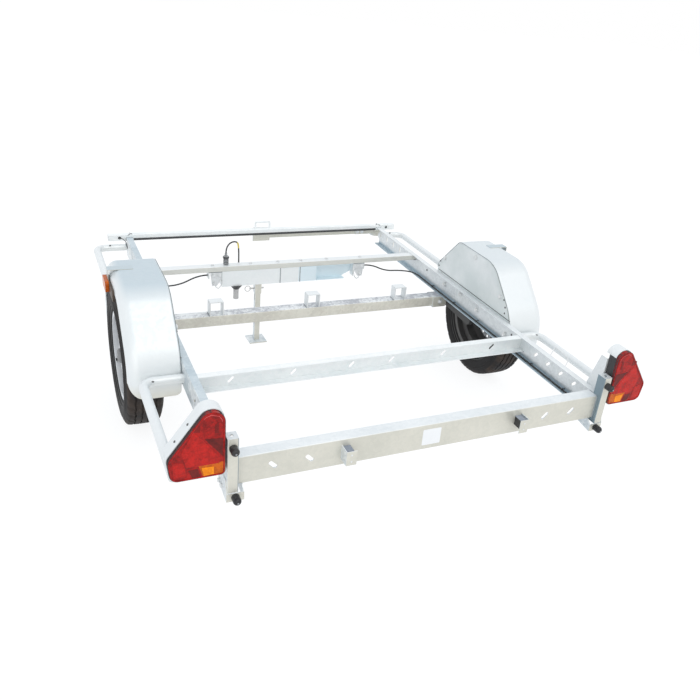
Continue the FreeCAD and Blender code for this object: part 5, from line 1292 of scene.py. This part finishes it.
def build_cords(settings):
    """The plug's lead with its yellow sleeve, the two looms and the short lead."""
    lead = cord("plug_lead_cable", [at(*spot) for spot in LEAD], settings.thick, ("plug_lead",))
    points = line_points(lead)
    first, last = (round(len(points) * part) for part in (settings.from_share, settings.to_share))
    sleeve = Form()
    sleeve.tube(points[first:last], settings.sleeve / MM)
    sleeve.made("lead_sleeve", "tag_yellow", CHASSIS, "cable_black")
    for side, word in SIDES:
        nodes = ("wiring_looms",) if side < 0 else ()
        cord(f"loom_cable_{word}", [beside(side, spot) for spot in LOOM], settings.thick, nodes)
    cord("bar_lead_cable", [at(*spot) for spot in BAR_LEAD], settings.thin)


class TrailerStage(bpy.types.PropertyGroup):
    """Camera, floor and light."""

    camera_x: length("Camera X", "Where the camera stands", -1.17775)
    camera_y: length("Camera Y", "Where the camera stands", -2.78811)
    camera_z: length("Camera Z", "Where the camera stands", 1.72533)
    floor_half: length("Floor", "Half the width of the floor", 30)
    floor_colour: colour("Floor colour", "Colour of the floor", (0.93, 0.935, 0.94))
    floor_patch: colour("Floor patches", "Colour of the faint patches on the floor", (0.9, 0.91, 0.92))
    sky_colour: colour("Sky colour", "Colour of the light from all round", (0.93, 0.96, 1.0))
    world_light: share("World light", "Light from all round", 0.98)
    sun_light: plain("Sun", "Strength of the soft sun", 0.4)
    fill_light: plain("Fill", "Strength of the soft light from behind the camera", 0.32)
    back_glow: plain("White ground", "How bright the white behind is", 1.15)


# Camera: heading, pitch and roll, then focus, width and centre of the picture in its own pixels
HEADING, PITCH, ROLL = (math.radians(angle) for angle in (28.233, 26.499, 6.697))
FOCUS, PICTURE, CENTRE = 733.049, 700, (384.675, 348.572)
SENSOR = 36

# Floor: patches per metre, how strong they are and how much of the floor glows
FLOOR_SCALE, PATCH_SHARE, GLOW_SHARE = 3, 0.1, 0.82
WHITE = (1, 1, 1)

# Suns: colour, then width, tip from overhead and swing in degrees
KEY_SUN = (WHITE, 30, 35, 20)
FILL_SUN = ((1, 0.97, 0.93), 50, 62, -30)


def camera_view(settings):
    """The camera of the photograph."""
    aim = Vector((math.sin(HEADING) * math.cos(PITCH), math.cos(HEADING) * math.cos(PITCH), -math.sin(PITCH)))
    level = Vector((math.cos(HEADING), -math.sin(HEADING), 0))
    up = level.cross(aim)
    right = level * math.cos(ROLL) + up * math.sin(ROLL)
    top = up * math.cos(ROLL) - level * math.sin(ROLL)
    data = bpy.data.cameras.new("camera")
    data.sensor_width = SENSOR
    data.lens = FOCUS / PICTURE * SENSOR
    data.shift_x = (PICTURE / 2 - CENTRE[0]) / PICTURE
    data.shift_y = (CENTRE[1] - PICTURE / 2) / PICTURE
    camera = linked("camera", data)
    place = Vector((settings.camera_x, settings.camera_y, settings.camera_z))
    turn = Matrix((right, top, -aim)).transposed().to_4x4()
    camera.matrix_world = Matrix.Translation(place) @ turn
    bpy.context.scene.camera = camera


def sun(name, energy, rgb, wide, tip, swing):
    """A soft sun, tipped down from overhead and swung round."""
    data = bpy.data.lights.new(name, "SUN")
    data.energy = energy
    data.color = rgb
    data.angle = math.radians(wide)
    item = linked(name, data)
    item.rotation_euler = (math.radians(tip), 0, math.radians(swing))


def build_floor(settings):
    """A pale floor that is white to the camera."""
    shader = Shader("floor")
    mottle = shader.noise(FLOOR_SCALE, 2)
    base = shader.mix(mottle * PATCH_SHARE, solid(settings.floor_colour), solid(settings.floor_patch))
    lit = shader.node("ShaderNodeBsdfDiffuse", inputs={"Color": base})
    glow = shader.node("ShaderNodeEmission", inputs={"Color": base, "Strength": settings.back_glow})
    seen = shader.node("ShaderNodeMixShader", inputs={0: shader.backdrop() * GLOW_SHARE, 1: lit, 2: glow})
    shader.node("ShaderNodeOutputMaterial", inputs={"Surface": seen})
    mesh = bpy.data.meshes.new("floor")
    half = settings.floor_half
    mesh.from_pydata([(x * half, y * half, 0) for x, y in SQUARE], [], [(0, 1, 2, 3)])
    mesh.materials.append(shader.material)
    linked("floor", mesh)


def build_world(settings):
    """Soft light from all round, with white behind the trailer."""
    world = bpy.data.worlds.new("white")
    bpy.context.scene.world = world
    world.use_nodes = True
    nodes = Nodes(world.node_tree)
    sky = {"Color": solid(settings.sky_colour), "Strength": settings.world_light}
    soft = nodes.node("ShaderNodeBackground", inputs=sky)
    white = nodes.node("ShaderNodeBackground", inputs={"Color": solid(WHITE), "Strength": 1})
    mixed = nodes.node("ShaderNodeMixShader", inputs={0: nodes.backdrop(), 1: soft, 2: white})
    nodes.node("ShaderNodeOutputWorld", inputs={"Surface": mixed})


def build_stage(settings):
    """Pale floor, white ground behind, soft lights and the camera."""
    build_floor(settings)
    build_world(settings)
    sun("sun_key", settings.sun_light, *KEY_SUN)
    sun("sun_fill", settings.fill_light, *FILL_SUN)
    camera_view(settings)
    bpy.context.scene.view_settings.view_transform = "Standard"


class BuildStep:
    """What every step of the build shares."""

    bl_options = {"REGISTER", "UNDO"}

    def execute(self, context):
        self.build(getattr(context.scene, self.settings))
        return {"FINISHED"}


STEPS = (
    ("finishes", "Finishes", "Make the materials for the CAD nodes", TrailerFinish, build_finishes),
    ("tyres", "Tyres", "Build the tyres with their tread", TrailerTyres, build_tyres),
    ("wheels", "Wheel parts", "Add the wheel nuts and valves", TrailerWheels, build_wheels),
    ("fasteners", "Fasteners", "Add the bolts, nuts and rivets", TrailerFasteners, build_fasteners),
    ("welds", "Welds", "Add the weld beads", TrailerWelds, build_welds),
    ("lamps", "Tail lamps", "Add the details of the tail lamps", TrailerLamps, build_lamps),
    ("markers", "Marker lamps", "Add the details of the side marker lamps", TrailerMarkers, build_markers),
    ("guards", "Mudguards", "Add the edges of the mudguards", TrailerGuards, build_guards),
    ("trim", "Trim", "Add the sticker, plug grips, clips and marks", TrailerTrim, build_trim),
    ("cords", "Cords", "Lay the cables", TrailerCords, build_cords),
    ("stage", "Stage", "Set the floor, the light and the camera", TrailerStage, build_stage),
)


def operator_for(word, label, note, group, build):
    """The operator class of one step."""
    body = {
        "__doc__": note, "bl_idname": f"trailer.{word}", "bl_label": label, "settings": f"trailer_{word}",
        "build": staticmethod(build),
    }
    return type(f"TRAILER_OT_{word}", (BuildStep, bpy.types.Operator), body)


OPERATORS = [operator_for(*step) for step in STEPS]


class TRAILER_PT_looks(bpy.types.Panel):
    """Steps of the build and their sizes."""

    bl_label = "Boat trailer"
    bl_space_type = "VIEW_3D"
    bl_region_type = "UI"
    bl_category = "Boat trailer"

    def draw(self, context):
        for word, label, note, group, build in STEPS:
            box = self.layout.box()
            box.operator(f"trailer.{word}")
            settings = getattr(context.scene, f"trailer_{word}")
            for key in group.__annotations__:
                box.prop(settings, key)


def register():
    for word, label, note, group, build in STEPS:
        bpy.utils.register_class(group)
        setattr(bpy.types.Scene, f"trailer_{word}", PointerProperty(type=group))
    for operator in OPERATORS:
        bpy.utils.register_class(operator)
    bpy.utils.register_class(TRAILER_PT_looks)


def unregister():
    bpy.utils.unregister_class(TRAILER_PT_looks)
    for operator in reversed(OPERATORS):
        bpy.utils.unregister_class(operator)
    for word, label, note, group, build in reversed(STEPS):
        delattr(bpy.types.Scene, f"trailer_{word}")
        bpy.utils.unregister_class(group)


def main():
    """Build everything in order and write the sizes of the frame and of what is seen."""
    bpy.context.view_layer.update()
    register()
    for word, label, note, group, build in STEPS:
        getattr(bpy.ops.trailer, word)()


if __name__ == "__main__":
    main()
